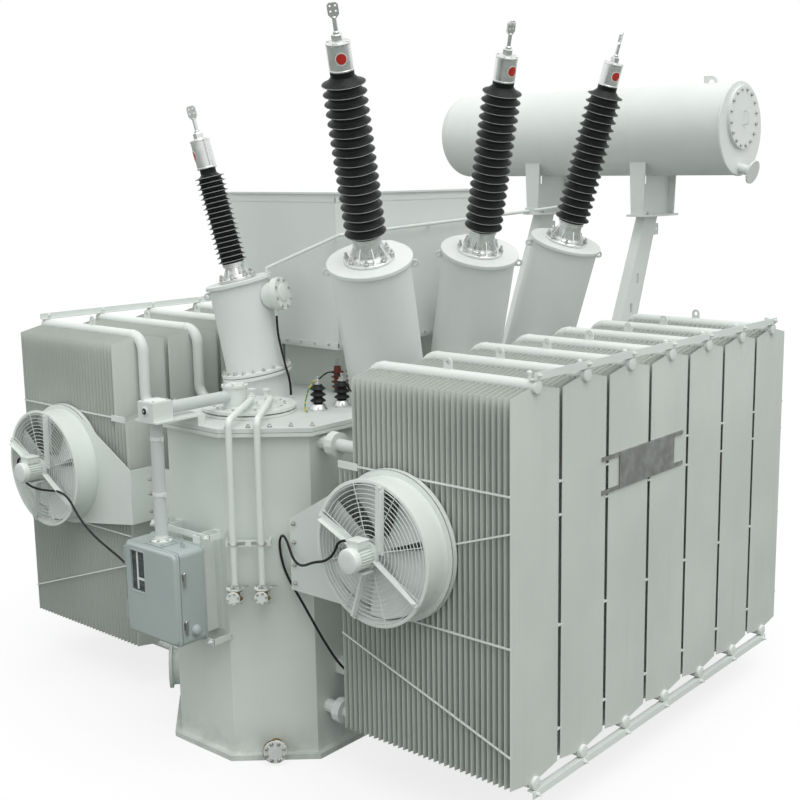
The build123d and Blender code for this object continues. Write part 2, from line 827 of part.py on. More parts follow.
wall_gap = -wall_near - cabinet_back
with BuildPart() as cabinet_frame:
    for side in (1, -1):
        with Locations((side * frame_x, cabinet_back, cabinet_bottom)):
            Box(frame_bar, wall_gap, cabinet_h + frame_over, align=(Align.CENTER, Align.MIN, Align.MIN))
        with Locations((side * (frame_x + frame_wall), cabinet_back + frame_wall, cabinet_bottom)):
            Box(frame_bar, wall_gap - 2 * frame_wall, cabinet_h + frame_over,
                align=(Align.CENTER, Align.MIN, Align.MIN), mode=Mode.SUBTRACT)
cabinet_frame.part.label = "cabinet_frame"
export_step(cabinet_frame.part, "parts/cabinet_frame.step")

# Filter pipes down the chamfer, their valves, blanks and levers
filter_feet = [chamfer_point(run, filter_off, filter_bottom) for run in filter_runs]
with BuildPart() as filter_pipes:
    for (start_x, start_y), foot in zip(filter_starts, filter_feet):
        with BuildLine():
            Polyline(
                (start_x, start_y, head_top),
                (start_x, start_y, filter_top),
                (foot.X, foot.Y, filter_top),
                (foot.X, foot.Y, filter_bottom + tap_r),
            )
        with BuildSketch(Plane((start_x, start_y, head_top))):
            Circle(filter_r)
        sweep(transition=Transition.RIGHT)
    strip = Plane(chamfer_point(0, 0, clamp_z), x_dir=chamfer_along, z_dir=(0, 0, 1))
    strip_back = clamp_t - filter_off + filter_r - clamp_bite
    with BuildSketch(strip.offset(-clamp_h / 2)):
        with Locations((clamp_runs[0], strip_back)):
            Rectangle(clamp_runs[1] - clamp_runs[0], clamp_t, align=(Align.MIN, Align.MAX))
        for run in (clamp_runs[0], clamp_runs[1] - clamp_foot):
            with Locations((run, strip_back - clamp_t)):
                Rectangle(clamp_foot, rim_overhang + clamp_t - strip_back, align=(Align.MIN, Align.MIN))
    extrude(amount=clamp_h)
filter_pipes.part.label = "filter_pipes"
export_step(filter_pipes.part, "parts/filter_pipes.step")

with BuildPart() as filter_valves:
    for foot in filter_feet:
        with Locations(foot):
            Box(1.4 * tap_r, 1.4 * tap_r, 2 * tap_r)
        with BuildSketch(Plane(foot, z_dir=chamfer_out)):
            Circle(tap_r * 0.8)
        extrude(amount=tap_len)
        with BuildSketch(Plane(foot + chamfer_out * tap_len, z_dir=chamfer_out)):
            Circle(blank_r)
        extrude(amount=blank_t)
        with Locations(foot + chamfer_out * tap_len / 2):
            Cylinder(stem_r, tap_r + lever_gap, align=BOTTOM)
filter_valves.part.label = "filter_valves"
export_step(filter_valves.part, "parts/filter_valves.step")

lever_reach = lever_len - lever_w / 2
lever_pivots = [foot + chamfer_out * tap_len / 2 + Vector(0, 0, tap_r + lever_gap + lever_seat) for foot in filter_feet]
for number, pivot in enumerate(lever_pivots, start=1):
    print(f"lever {number} turns about", round(pivot.X, 2), round(pivot.Y, 2), round(pivot.Z, 2))
    with BuildPart() as lever:
        with BuildSketch(Plane(pivot, x_dir=chamfer_along, z_dir=(0, 0, 1))):
            SlotCenterPoint((lever_reach / 2, 0), (lever_reach, 0), lever_w)
        extrude(amount=lever_t)
    lever.part.label = f"filter_lever_{number}"
    export_step(lever.part, f"parts/filter_lever_{number}.step")

# Drain valve low on the near right chamfer, manhole on the near left one
chamfer_mid = Vector(side_rim - near_half, chamfer_run, 0).length / 2
with BuildPart() as drain_valve:
    start = chamfer_point(chamfer_mid, -rim_overhang, drain_z)
    with BuildSketch(Plane(start, z_dir=chamfer_out)):
        Circle(drain_r)
    extrude(amount=drain_len)
    with BuildSketch(Plane(start + chamfer_out * drain_len, z_dir=chamfer_out)):
        Circle(drain_blank_r)
    extrude(amount=drain_blank_t)
drain_valve.part.label = "drain_valve"
export_step(drain_valve.part, "parts/drain_valve.step")

left_out = Vector(-chamfer_out.X, chamfer_out.Y, 0)
with BuildPart() as manhole:
    centre = chamfer_point(chamfer_mid, -rim_overhang, manhole_z)
    centre = Vector(-centre.X, centre.Y, centre.Z)
    with BuildSketch(Plane(centre, z_dir=left_out)):
        Circle(manhole_neck_r)
    extrude(amount=manhole_neck)
    with BuildSketch(Plane(centre + left_out * manhole_neck, z_dir=left_out)):
        Circle(manhole_r)
    extrude(amount=manhole_t)
manhole.part.label = "manhole"
export_step(manhole.part, "parts/manhole.step")

# Box over the low-voltage outlets, on its plinth
with BuildPart() as outlet_box:
    with Locations(((box_x0 + box_x1) / 2, (box_y0 + box_y1) / 2, box_z0)):
        Box(box_x1 - box_x0, box_y1 - box_y0, box_z1 - box_z0, align=BOTTOM)
    with Locations(((box_x0 + box_x1) / 2, (box_y0 + box_y1) / 2, box_z1)):
        Box(box_x1 - box_x0 + 2 * box_lid_over, box_y1 - box_y0 + 2 * box_lid_over, box_lid_t, align=BOTTOM)
outlet_box.part.label = "outlet_box"
export_step(outlet_box.part, "parts/outlet_box.step")

with BuildPart() as outlet_plinth:
    with Locations(((plinth_x0 + plinth_x1) / 2, (plinth_y0 + plinth_y1) / 2, cover_top)):
        Box(plinth_x1 - plinth_x0, plinth_y1 - plinth_y0, box_z0 - cover_top, align=BOTTOM)
outlet_plinth.part.label = "outlet_plinth"
export_step(outlet_plinth.part, "parts/outlet_plinth.step")

# Conservator with its hatch, saddles and legs
with BuildPart() as conservator:
    with BuildSketch(Plane((vessel_x0, conservator_y, conservator_z), z_dir=(1, 0, 0))):
        Circle(conservator_r)
    extrude(amount=vessel_x1 - vessel_x0)
    fillet(edges().group_by(Axis.X)[0], dish_r)
    outlet = Plane((vessel_x1 - outlet_r, conservator_y, conservator_z - outlet_drop), z_dir=(1, 0, -outlet_dip))
    with BuildSketch(outlet):
        Circle(outlet_r)
    extrude(amount=outlet_r + outlet_len)
    with BuildSketch(outlet.offset(outlet_r + outlet_len)):
        Circle(outlet_r)
    with BuildSketch(outlet.offset(outlet_r + outlet_len + outlet_flare)):
        Circle(outlet_flare_r)
    loft()
    with BuildSketch(outlet.offset(outlet_r + outlet_len + outlet_flare)):
        Circle(outlet_flange_r)
    extrude(amount=outlet_flange_t)
    for x in (vessel_x0 + eye_inset, vessel_x1 - eye_inset):
        with BuildSketch(Plane((x, conservator_y - eye_t / 2, conservator_z + conservator_r), z_dir=(0, -1, 0))):
            with Locations((0, eye_up)):
                Circle(eye_r)
            Rectangle(2 * eye_r, eye_t + eye_up, align=(Align.CENTER, Align.CENTER))
            with Locations((0, eye_up)):
                Circle(eye_hole_r, mode=Mode.SUBTRACT)
        extrude(amount=-eye_t)
conservator.part.label = "conservator"
export_step(conservator.part, "parts/conservator.step")

with BuildPart() as conservator_hatch:
    with BuildSketch(Plane((vessel_x1, conservator_y, conservator_z + hatch_up), z_dir=(1, 0, 0))):
        Circle(hatch_r)
    extrude(amount=hatch_t)
conservator_hatch.part.label = "conservator_hatch"
export_step(conservator_hatch.part, "parts/conservator_hatch.step")

saddle_foot = saddle_bottom + saddle_base_t
saddle_h = conservator_z - saddle_foot
with BuildPart() as conservator_saddles:
    for x in saddle_xs:
        with Locations((x, conservator_y, saddle_bottom)):
            Box(saddle_base_w, 2 * saddle_half + 3 * plate_wall, saddle_base_t, align=BOTTOM)
        with BuildSketch(Plane((x - plate_wall / 2, conservator_y, saddle_foot), x_dir=(0, 1, 0), z_dir=(1, 0, 0))):
            Rectangle(2 * saddle_half, saddle_h, align=(Align.CENTER, Align.MIN))
            with Locations((-saddle_half / 2, saddle_slot_up)):
                Rectangle(saddle_slot_w, saddle_slot_h, mode=Mode.SUBTRACT)
        extrude(amount=plate_wall)
        for near in (1, -1):
            with BuildSketch(Plane((x, conservator_y - near * saddle_half, saddle_foot), z_dir=(0, -near, 0))):
                with BuildLine():
                    Polyline(
                        (-saddle_flange_foot / 2, 0),
                        (saddle_flange_foot / 2, 0),
                        (saddle_flange_top / 2, saddle_h),
                        (-saddle_flange_top / 2, saddle_h),
                        close=True,
                    )
                make_face()
            extrude(amount=plate_wall)
    with BuildSketch(Plane((vessel_x0, conservator_y, conservator_z), z_dir=(1, 0, 0))):
        Circle(conservator_r)
    extrude(amount=vessel_x1 - vessel_x0, mode=Mode.SUBTRACT)
conservator_saddles.part.label = "conservator_saddles"
export_step(conservator_saddles.part, "parts/conservator_saddles.step")

leg_foot_top = cover_top + leg_foot_t
leg_near_slope = (leg_head[0] - leg_foot[0]) / (saddle_bottom - leg_foot_top)
leg_far_slope = (leg_head[1] - leg_foot[1]) / (saddle_bottom - leg_foot_top)
leg_outline = [
    (leg_foot[0], leg_foot_top),
    (leg_foot[1], leg_foot_top),
    (leg_head[1], saddle_bottom),
    (leg_head[0], saddle_bottom),
]
leg_hollow = [(y + plate_wall * (1, -1, -1, 1)[i], z) for i, (y, z) in enumerate(leg_outline)]
with BuildPart() as conservator_legs:
    for x in saddle_xs:
        web_x = x - leg_shift + leg_w / 2
        for outline, depth, mode in ((leg_outline, leg_w, Mode.ADD), (leg_hollow, leg_w - plate_wall, Mode.SUBTRACT)):
            with BuildSketch(Plane((web_x - leg_w, 0, 0), x_dir=(0, 1, 0), z_dir=(1, 0, 0))):
                with BuildLine():
                    Polyline(*outline, close=True)
                make_face()
            extrude(amount=depth, mode=mode)
        with BuildSketch(Plane((web_x - plate_wall, 0, 0), x_dir=(0, 1, 0), z_dir=(1, 0, 0))):
            for z in leg_slot_zs:
                middle = sum(leg_foot) / 2 + (leg_near_slope + leg_far_slope) / 2 * (z - leg_foot_top)
                with Locations((middle, z)):
                    Rectangle(leg_slot_w, leg_slot_h)
        extrude(amount=plate_wall, mode=Mode.SUBTRACT)
        far_edge = leg_foot[1] + leg_far_slope * (leg_lug_z - leg_foot_top)
        with BuildSketch(Plane((web_x - plate_wall, 0, 0), x_dir=(0, 1, 0), z_dir=(1, 0, 0))):
            with Locations((far_edge - plate_wall, leg_lug_z)):
                Rectangle(leg_lug_out, leg_lug_h, align=(Align.MIN, Align.CENTER))
            with Locations((far_edge + leg_lug_out / 2, leg_lug_z)):
                Circle(leg_lug_hole_r, mode=Mode.SUBTRACT)
        extrude(amount=plate_wall)
        with Locations((web_x, leg_foot[0] - plate_wall, cover_top)):
            Box(leg_w + leg_foot_over, leg_foot[1] - leg_foot[0] + 2 * plate_wall, leg_foot_t,
                align=(Align.MAX, Align.MIN, Align.MIN))
conservator_legs.part.label = "conservator_legs"
export_step(conservator_legs.part, "parts/conservator_legs.step")

# Gas pipe with its clips and its valve
with BuildPart() as gas_pipes:
    with BuildLine():
        Polyline(
            (*gas_start, neutral_plane.to_local_coords(Vector(*gas_start, neutral_top[2])).Z * -1 + neutral_top[2]),
            (*gas_start, gas_rise),
            (gas_x, *gas_near),
            (gas_x, *gas_far),
            (gas_x, *gas_turn),
            (gas_x, conservator_y, gas_turn[1] + gas_last_rise),
            (gas_x, conservator_y, conservator_z - conservator_r),
        )
    with BuildSketch(Plane((*gas_start, gas_rise))):
        Circle(gas_r)
    sweep(transition=Transition.RIGHT)
    gas_slope = (gas_far[1] - gas_near[1]) / (gas_far[0] - gas_near[0])
    with Locations([(box_x1, y, gas_near[1] + gas_slope * (y - gas_near[0])) for y in gas_clip_ys]):
        Box(gas_x - box_x1, gas_clip_w, gas_clip_w, align=(Align.MIN, Align.CENTER, Align.CENTER))
    with Locations((gas_x, *gas_far)):
        Box(gas_valve_w, gas_valve_w, gas_valve_w)
    add(turrets.part, mode=Mode.SUBTRACT)
    add(conservator.part, mode=Mode.SUBTRACT)
gas_pipes.part.label = "gas_pipes"
export_step(gas_pipes.part, "parts/gas_pipes.step")

# Leads
for name, points in (
    ("fan_cable_right", right_lead_points),
    ("fan_cable_left", left_lead_points),
    ("ct_cable", ct_lead_points),
):
    cable = lead(points)
    cable.label = name
    export_step(cable, f"parts/{name}.step")

# Fans: duct, plate and bracket, guard, motor on its arms, bladed rotor
with BuildPart() as blade_solid:
    pitched = (0, -cos(radians(blade_pitch)), sin(radians(blade_pitch)))
    with BuildSketch(Plane((0, 0, 0), x_dir=(1, 0, 0), z_dir=pitched)):
        with BuildLine():
            Line((hub_r * 0.9, blade_root_w / 2), (hub_r * 0.9, -blade_root_w / 2))
            Line((hub_r * 0.9, -blade_root_w / 2), (blade_shoulder, -blade_tip_w / 2))
            ThreePointArc((blade_shoulder, -blade_tip_w / 2), (blade_tip_r, 0), (blade_shoulder, blade_tip_w / 2))
            Line((blade_shoulder, blade_tip_w / 2), (hub_r * 0.9, blade_root_w / 2))
        make_face()
    extrude(amount=blade_t / 2, both=True)
fan_blade = blade_solid.part

for bank, fan_x, edge_x, (edge_low, edge_high) in (
    ("right", right_fan_x, right_edge_x, right_edge_z),
    ("left", left_fan_x, left_edge_x, left_edge_z),
):
    side = 1 if fan_x > 0 else -1
    across = {"x_dir": (1, 0, 0), "z_dir": (0, -1, 0)}

    with BuildPart() as duct:
        with BuildSketch(Plane((fan_x, fan_back, fan_z), **across)):
            Circle(duct_r + duct_t)
            Circle(duct_r, mode=Mode.SUBTRACT)
        extrude(amount=fan_back - fan_front)
        with BuildSketch(Plane((fan_x, fan_back, fan_z), **across)):
            Circle(back_flange_r)
            Circle(duct_r, mode=Mode.SUBTRACT)
        extrude(amount=duct_flange_t)
        with BuildSketch(Plane((fan_x, fan_front, fan_z), **across)):
            Circle(front_flange_r)
            Circle(duct_r, mode=Mode.SUBTRACT)
        extrude(amount=-duct_flange_t)
        with BuildSketch(Plane((fan_x, fan_front, fan_z), **across)):
            for ring in range(guard_rings):
                radius = guard_inner_r + (duct_r + guard_seat - guard_inner_r) * ring / (guard_rings - 1)
                Circle(radius + guard_ring_w)
                Circle(radius, mode=Mode.SUBTRACT)
            with PolarLocations((guard_inner_r + duct_r) / 2 + guard_seat, guard_spokes, start_angle=15):
                Rectangle(duct_r - guard_inner_r, guard_spoke_w)
        extrude(amount=guard_t)
    duct.part.label = f"fan_duct_{bank}"
    export_step(duct.part, f"parts/fan_duct_{bank}.step")

    with BuildPart() as fan_plate:
        with BuildSketch(Plane((0, fan_plate_y + fan_plate_t, 0), **across)):
            with BuildLine():
                CenterArc((fan_x, fan_z), fan_plate_r, 0, 360)
                Line((edge_x, edge_low), (edge_x, edge_high))
            make_hull()
            with Locations((fan_x, fan_z)):
                Circle(duct_r + duct_t + seat_clear, mode=Mode.SUBTRACT)
        extrude(amount=fan_plate_t)
        with Locations((edge_x, fan_plate_y + fan_plate_t, edge_low)):
            Box(fan_bracket_t, link_y - fan_plate_y - fan_plate_t, edge_high - edge_low,
                align=(Align.MIN if side > 0 else Align.MAX, Align.MIN, Align.MIN))
        with Locations((edge_x, link_y, edge_low)):
            Box(abs(edge_x) - side_rim / 2, fan_bracket_t, edge_high - edge_low,
                align=(Align.MAX if side > 0 else Align.MIN, Align.MAX, Align.MIN))
        add(tank.part, mode=Mode.SUBTRACT)
    fan_plate.part.label = f"fan_plate_{bank}"
    export_step(fan_plate.part, f"parts/fan_plate_{bank}.step")

    with BuildPart() as motor:
        with BuildSketch(Plane((fan_x, motor_back, fan_z), **across)):
            Circle(motor_r)
        extrude(amount=motor_back - motor_front)
        with BuildSketch(Plane((fan_x, fan_front - guard_t, fan_z), **across)):
            with PolarLocations(front_flange_r / 2, 4, start_angle=45):
                Rectangle(front_flange_r, arm_w)
            Circle(motor_r + motor_lip)
        extrude(amount=arm_t)
        with Locations((fan_x, motor_y, fan_z + motor_r - 10)):
            Box(motor_box_w, motor_box_w, motor_box_h, align=BOTTOM)
        with BuildSketch(Plane((fan_x - motor_box_w / 2, motor_y, fan_z + motor_gland_z), z_dir=(-1, 0, 0))):
            Circle(gland_r)
        extrude(amount=gland_len)
        with BuildSketch(Plane((fan_x, fan_front - guard_t, fan_z), **across)):
            Circle(shaft_r + shaft_clear)
        extrude(amount=arm_t + bore_depth, mode=Mode.SUBTRACT)
    motor.part.label = f"fan_motor_{bank}"
    export_step(motor.part, f"parts/fan_motor_{bank}.step")

    with BuildPart() as rotor:
        with BuildSketch(Plane((fan_x, hub_front, fan_z), **across)):
            Circle(hub_r)
        extrude(amount=-hub_len)
        with BuildSketch(Plane((fan_x, hub_front, fan_z), **across)):
            Circle(shaft_r)
        extrude(amount=hub_front - motor_back + bore_depth - shaft_end_gap)
        for blade in range(blade_count):
            turn = Rotation(0, 360 / blade_count * blade, 0)
            add(fan_blade.moved(Location((fan_x, hub_front + hub_len / 2, fan_z)) * turn))
    rotor.part.label = f"fan_rotor_{bank}"
    export_step(rotor.part, f"parts/fan_rotor_{bank}.step")
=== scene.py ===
"""Looks of an oil-filled power transformer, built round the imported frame.

Metres, +Z up. The frame gives every piece its place: fins, pipes, sheds, guards and bolts are
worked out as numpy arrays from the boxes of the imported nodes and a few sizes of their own.
"""

import logging
from dataclasses import dataclass, field
from enum import Enum
from math import acos, cos, pi, radians, sin, tan
from typing import Any, Sequence

import bpy
import numpy as np
from mathutils import Matrix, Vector
from mathutils.geometry import tessellate_polygon


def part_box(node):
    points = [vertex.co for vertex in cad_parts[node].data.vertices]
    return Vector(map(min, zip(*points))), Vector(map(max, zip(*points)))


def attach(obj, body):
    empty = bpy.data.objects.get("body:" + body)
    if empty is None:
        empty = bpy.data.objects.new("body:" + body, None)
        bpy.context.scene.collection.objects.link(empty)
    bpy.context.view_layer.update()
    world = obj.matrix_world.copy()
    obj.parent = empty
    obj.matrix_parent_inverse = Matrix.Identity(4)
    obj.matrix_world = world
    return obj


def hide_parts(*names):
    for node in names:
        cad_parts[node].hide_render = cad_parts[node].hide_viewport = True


log = logging.getLogger("transformer")

Array = np.ndarray
Triple = tuple[float, float, float]

ROOT = "transformer"
TURN = 2.0 * pi


class Bank(Enum):
    """The two radiator banks, with the sign of X on which each stands."""

    RIGHT = 1
    LEFT = -1

    @property
    def word(self) -> str:
        """The bank's name as the frame's nodes spell it."""
        return self.name.lower()


# Shapes


def unit(vector: Sequence[float]) -> Array:
    """The vector at length one."""
    array = np.asarray(vector, float)
    return array / np.linalg.norm(array)


@dataclass(frozen=True)
class Seat:
    """A place that a part stands on: an origin, the axis it stands along, and a hint of what is across."""

    origin: Sequence[float]
    axis: Sequence[float] = (0.0, 0.0, 1.0)
    across: Sequence[float] | None = None

    def rows(self) -> Array:
        """The seat's three unit directions as rows: across, alongside and axis."""
        axis = unit(self.axis)
        hint = np.asarray((1.0, 0.0, 0.0) if abs(axis[0]) < 0.9 else (0.0, 1.0, 0.0))
        if self.across is not None:
            hint = np.asarray(self.across, float)
        across = unit(hint - axis * np.dot(hint, axis))
        return np.array([across, np.cross(axis, across), axis])

    def place(self, points: Array) -> Array:
        """Points of the part's own axes carried to the seat: origin + points @ rows."""
        return np.asarray(self.origin, float) + points @ self.rows()

    def moved(self, x: float = 0.0, y: float = 0.0, z: float = 0.0) -> "Seat":
        """The same seat shifted along its own three directions."""
        return Seat(self.place(np.array([x, y, z])), self.axis, self.across)


class Shape:
    """A mesh that is put together from whole arrays of points and faces."""

    def __init__(self) -> None:
        """Starts an empty shape."""
        self.points: list[Array] = []
        self.faces: list[Array] = []
        self.total = 0

    def add(self, points: Array, faces: Sequence[Array]) -> None:
        """Adds points and the face arrays that index them.

        Args:
            points: Any array whose last axis is x, y, z.
            faces: Arrays of shape (faces, corners), counted from this call's first point.
        """
        flat = points.reshape(-1, 3)
        self.points.append(flat)
        self.faces.extend(chunk + self.total for chunk in faces)
        self.total += len(flat)

    def surface(self, grid: Array, wrap_u: bool = False, wrap_v: bool = False, ends: bool = False) -> None:
        """Adds the quads of a grid p(u, v), closed on itself in u or v if asked.

        Args:
            grid: Array of shape (rows, columns, 3).
            wrap_u: The last row joins the first.
            wrap_v: The last column joins the first.
            ends: The first and last rows are closed by flat faces.
        """
        rows, columns = grid.shape[:2]
        index = np.arange(rows * columns).reshape(rows, columns)
        first, last = index[:1], index[-1:]
        if wrap_u:
            index = np.vstack([index, index[:1]])
        if wrap_v:
            index = np.hstack([index, index[:, :1]])
        corners = [index[:-1, :-1], index[:-1, 1:], index[1:, 1:], index[1:, :-1]]
        faces = [np.stack(corners, -1).reshape(-1, 4)]
        if ends:
            faces += [first[:, ::-1], last]
        self.add(grid, faces)

    def turned(self, seat: Seat, profile: Sequence[tuple[float, float]], sides: int = 32,
               loop: bool = False) -> None:
        """Carries a profile round the seat's axis: p(i, t) = (r_i cos t, r_i sin t, h_i).

        Args:
            seat: Where the axis stands.
            profile: Pairs of radius and height, upwards on the outside.
            sides: Number of flats round the axis.
            loop: The profile is a closed ring section, with no end discs.
        """
        radius, height = np.asarray(profile, float).T
        angle = np.arange(sides) * TURN / sides
        grid = np.stack([
            radius[:, None] * np.cos(angle),
            radius[:, None] * np.sin(angle),
            np.repeat(height[:, None], sides, 1),
        ], -1)
        self.surface(seat.place(grid), wrap_u=loop, wrap_v=True, ends=not loop)

    def prism(self, seat: Seat, outline: Sequence[tuple[float, float]] | Array, height: float,
              start: float = 0.0) -> None:
        """Raises a flat outline, drawn anticlockwise, along the seat's axis."""
        flat = np.asarray(outline, float)
        levels = [np.column_stack([flat, np.full(len(flat), z)]) for z in (start, start + height)]
        self.surface(seat.place(np.array(levels)), wrap_v=True, ends=True)

    def block(self, low: Sequence[float], high: Sequence[float]) -> None:
        """Adds a box between two corners."""
        (x0, y0, z0), (x1, y1, z1) = low, high
        self.prism(Seat((0, 0, z0)), [(x0, y0), (x1, y0), (x1, y1), (x0, y1)], z1 - z0)

    def tube(self, path: Array, radius: float, sides: int = 12) -> None:
        """Carries a circle along a path, square to it at each point, with both ends closed.

        Each cross-section's directions are the last ones made square to the path again.
        """
        path = np.asarray(path, float)
        heading = np.gradient(path, axis=0)
        heading /= np.linalg.norm(heading, axis=1)[:, None]
        across = Seat(path[0], heading[0]).rows()[0]
        rings = []
        angle = np.arange(sides) * TURN / sides
        for point, ahead in zip(path, heading):
            across = unit(across - ahead * np.dot(across, ahead))
            beside = np.cross(ahead, across)
            ring = np.cos(angle)[:, None] * across + np.sin(angle)[:, None] * beside
            rings.append(point + radius * ring)
        self.surface(np.array(rings), wrap_v=True, ends=True)

    def stamp(self, seats: Sequence[Seat], pattern: "Shape") -> None:
        """Repeats a pattern, drawn at the origin along Z, on every seat."""
        points = np.concatenate(pattern.points)
        for seat in seats:
            self.add(seat.place(points), pattern.faces)

    def object(self, name: str, smooth_angle: float = 35.0) -> bpy.types.Object:
        """Makes the Blender object, with edges sharper than an angle left sharp.

        Args:
            name: The piece's name.
            smooth_angle: Degrees between faces up to which shading runs on.

        Returns:
            The new object, linked to the scene.
        """
        mesh = bpy.data.meshes.new(name)
        points = np.concatenate(self.points).astype(np.float32)
        corners = np.concatenate([chunk.reshape(-1) for chunk in self.faces]).astype(np.int32)
        counts = np.concatenate([np.full(len(chunk), chunk.shape[1]) for chunk in self.faces])
        starts = np.concatenate([[0], np.cumsum(counts)[:-1]]).astype(np.int32)
        mesh.vertices.add(len(points))
        mesh.vertices.foreach_set("co", points.ravel())
        mesh.loops.add(len(corners))
        mesh.loops.foreach_set("vertex_index", corners)
        mesh.polygons.add(len(starts))
        mesh.polygons.foreach_set("loop_start", starts)
        mesh.update(calc_edges=True)
        mesh.validate()
        mesh.polygons.foreach_set("use_smooth", np.ones(len(mesh.polygons), bool))
        mesh.set_sharp_from_angle(angle=radians(smooth_angle))
        made = bpy.data.objects.new(name, mesh)
        bpy.context.scene.collection.objects.link(made)
        return made


def ring_seats(seat: Seat, radius: float, count: int, height: float = 0.0, first: float = 0.0) -> list[Seat]:
    """Seats on a circle about a seat's axis, all with the same axis.

    Args:
        seat: The circle's own seat.
        radius: Radius of the circle.
        count: How many.
        height: How far up the axis the circle lies.
        first: Angle of the first one, in degrees.

    Returns:
        The seats, at equal angles.
    """
    angles = radians(first) + np.arange(count) * TURN / count
    return [seat.moved(radius * cos(a), radius * sin(a), height) for a in angles]


def bolt(size: float, head: float | None = None, stud: float = 0.0) -> Shape:
    """A hexagon bolt on its washer, standing along Z.

    Args:
        size: Thread diameter. The head is 1.6 and the washer 2.1 times as wide.
        head: Height of the head, 0.7 of the size if not given.
        stud: How far the thread stands out of a nut, or 0 for a bolt head.

    Returns:
        The pattern, to be stamped.
    """
    height = 0.7 * size if head is None else head
    washer = 0.18 * size
    pattern = Shape()
    pattern.turned(Seat((0, 0, 0)), [(1.05 * size, 0), (1.05 * size, washer)], 10)
    pattern.turned(Seat((0, 0, washer)), [
        (0.86 * size, 0), (0.86 * size, 0.8 * height), (0.7 * size, height)], 6)
    if stud:
        pattern.turned(Seat((0, 0, washer + height)), [
            (0.5 * size, 0), (0.5 * size, stud), (0.4 * size, stud * 1.1)], 8)
    return pattern


def bend(points: Sequence[Sequence[float]], radius: float, steps: int = 6) -> Array:
    """A path of straight runs whose corners are rounded by arcs of one radius.

    Each corner is replaced by the arc tangent to its two runs: its points are the corner's
    centre plus the radius at even angles.

    Args:
        points: Ends and corners of the path.
        radius: Radius of each corner's arc.
        steps: Pieces in each arc.

    Returns:
        The path's points.
    """
    route = np.asarray(points, float)
    path = [route[0]]
    for before, corner, after in zip(route[:-2], route[1:-1], route[2:]):
        arrive, leave = unit(corner - before), unit(after - corner)
        half = acos(np.clip(np.dot(arrive, leave), -1, 1)) / 2
        reach = radius * tan(half)
        centre = corner + unit(leave - arrive) * radius / cos(half)
        start = corner - arrive * reach - centre
        share = np.linspace(0, 2 * half, steps + 1)[:, None]
        path += list(centre + start * np.cos(share) + arrive * radius * np.sin(share))
    return np.array(path + [route[-1]])


def plate_with_hole(width: float, height: float, hole: float, steps: int = 20) -> tuple[Array, Array]:
    """Outlines of a lug: a plate with a round top, and the hole at the top's centre.

    Args:
        width: Width of the plate, twice the top's radius.
        height: From the foot to the centre of the hole.
        hole: Radius of the hole.
        steps: Points round the top, and round the hole.

    Returns:
        Outer outline and hole outline with as many points each, both from the same side.
    """
    angle = np.linspace(-0.5 * pi, 1.5 * pi, 2 * steps, endpoint=False)
    outer = np.column_stack([width / 2 * np.cos(angle), width / 2 * np.sin(angle)])
    below = np.sin(angle) < 0
    outer[below, 1] = -height
    outer[below, 0] = np.clip(outer[below, 0] * 1.6, -width / 2, width / 2)
    inner = hole * np.column_stack([np.cos(angle), np.sin(angle)])
    return outer, inner


def lug(width: float, height: float, hole: float, thickness: float) -> Shape:
    """A lifting lug in the XZ plane, standing on Z = 0: four loops joined round its section.

    Args:
        width: Width of the plate.
        height: From the foot to the centre of the hole.
        hole: Radius of the hole.
        thickness: Thickness of the plate.

    Returns:
        The pattern, to be stamped.
    """
    outer, inner = plate_with_hole(width, height, hole)
    half = thickness / 2
    loops = []
    for outline, y in ((outer, -half), (inner, -half), (inner, half), (outer, half)):
        loops.append(np.column_stack([outline[:, 0], np.full(len(outline), y), outline[:, 1] + height]))
    pattern = Shape()
    pattern.surface(np.array(loops), wrap_u=True, wrap_v=True)
    return pattern


def rounded(width: float, height: float, radius: float, steps: int = 5) -> Array:
    """A rectangle about the origin with round corners, anticlockwise.

    Args:
        width: Size along X.
        height: Size along Y.
        radius: Radius of the corners.
        steps: Points in each corner's arc.

    Returns:
        The outline's points.
    """
    radius = max(radius, 0.001)
    angle = np.linspace(0, pi / 2, steps)
    corners = []
    for number, (x, y) in enumerate([(1, 1), (-1, 1), (-1, -1), (1, -1)]):
        centre = np.array([x * (width / 2 - radius), y * (height / 2 - radius)])
        turn = angle + number * pi / 2
        corners.append(centre + radius * np.column_stack([np.cos(turn), np.sin(turn)]))
    return np.concatenate(corners)


def cut_plate(outline: Sequence[Sequence[float]] | Array, holes: Sequence[Array], thickness: float) -> Shape:
    """A flat plate with holes, from Z = 0 up.

    Both faces are the triangles between the outlines, and each outline has its own wall.

    Args:
        outline: Outer outline, anticlockwise.
        holes: Outlines of the holes, anticlockwise.
        thickness: Thickness of the plate.

    Returns:
        The pattern, to be stamped.
    """
    loops = [np.asarray(outline, float)] + [np.asarray(hole, float)[::-1] for hole in holes]
    flat = np.concatenate(loops)
    faces = np.array(tessellate_polygon([[(x, y, 0.0) for x, y in loop] for loop in loops]))
    start, along, away = (flat[faces[:, corner]] for corner in range(3))
    first, second = along - start, away - start
    turned = first[:, 0] * second[:, 1] - first[:, 1] * second[:, 0] < 0
    faces[turned] = faces[turned][:, ::-1]
    total = len(flat)
    walls, begin = [], 0
    for loop in loops:
        index = begin + np.arange(len(loop))
        after = np.roll(index, -1)
        walls.append(np.column_stack([index, after, after + total, index + total]))
        begin += len(loop)
    pattern = Shape()
    levels = [np.column_stack([flat, np.full(total, z)]) for z in (0.0, thickness)]
    pattern.add(np.concatenate(levels), [faces[:, ::-1], faces + total, *walls])
    return pattern


# Finishes


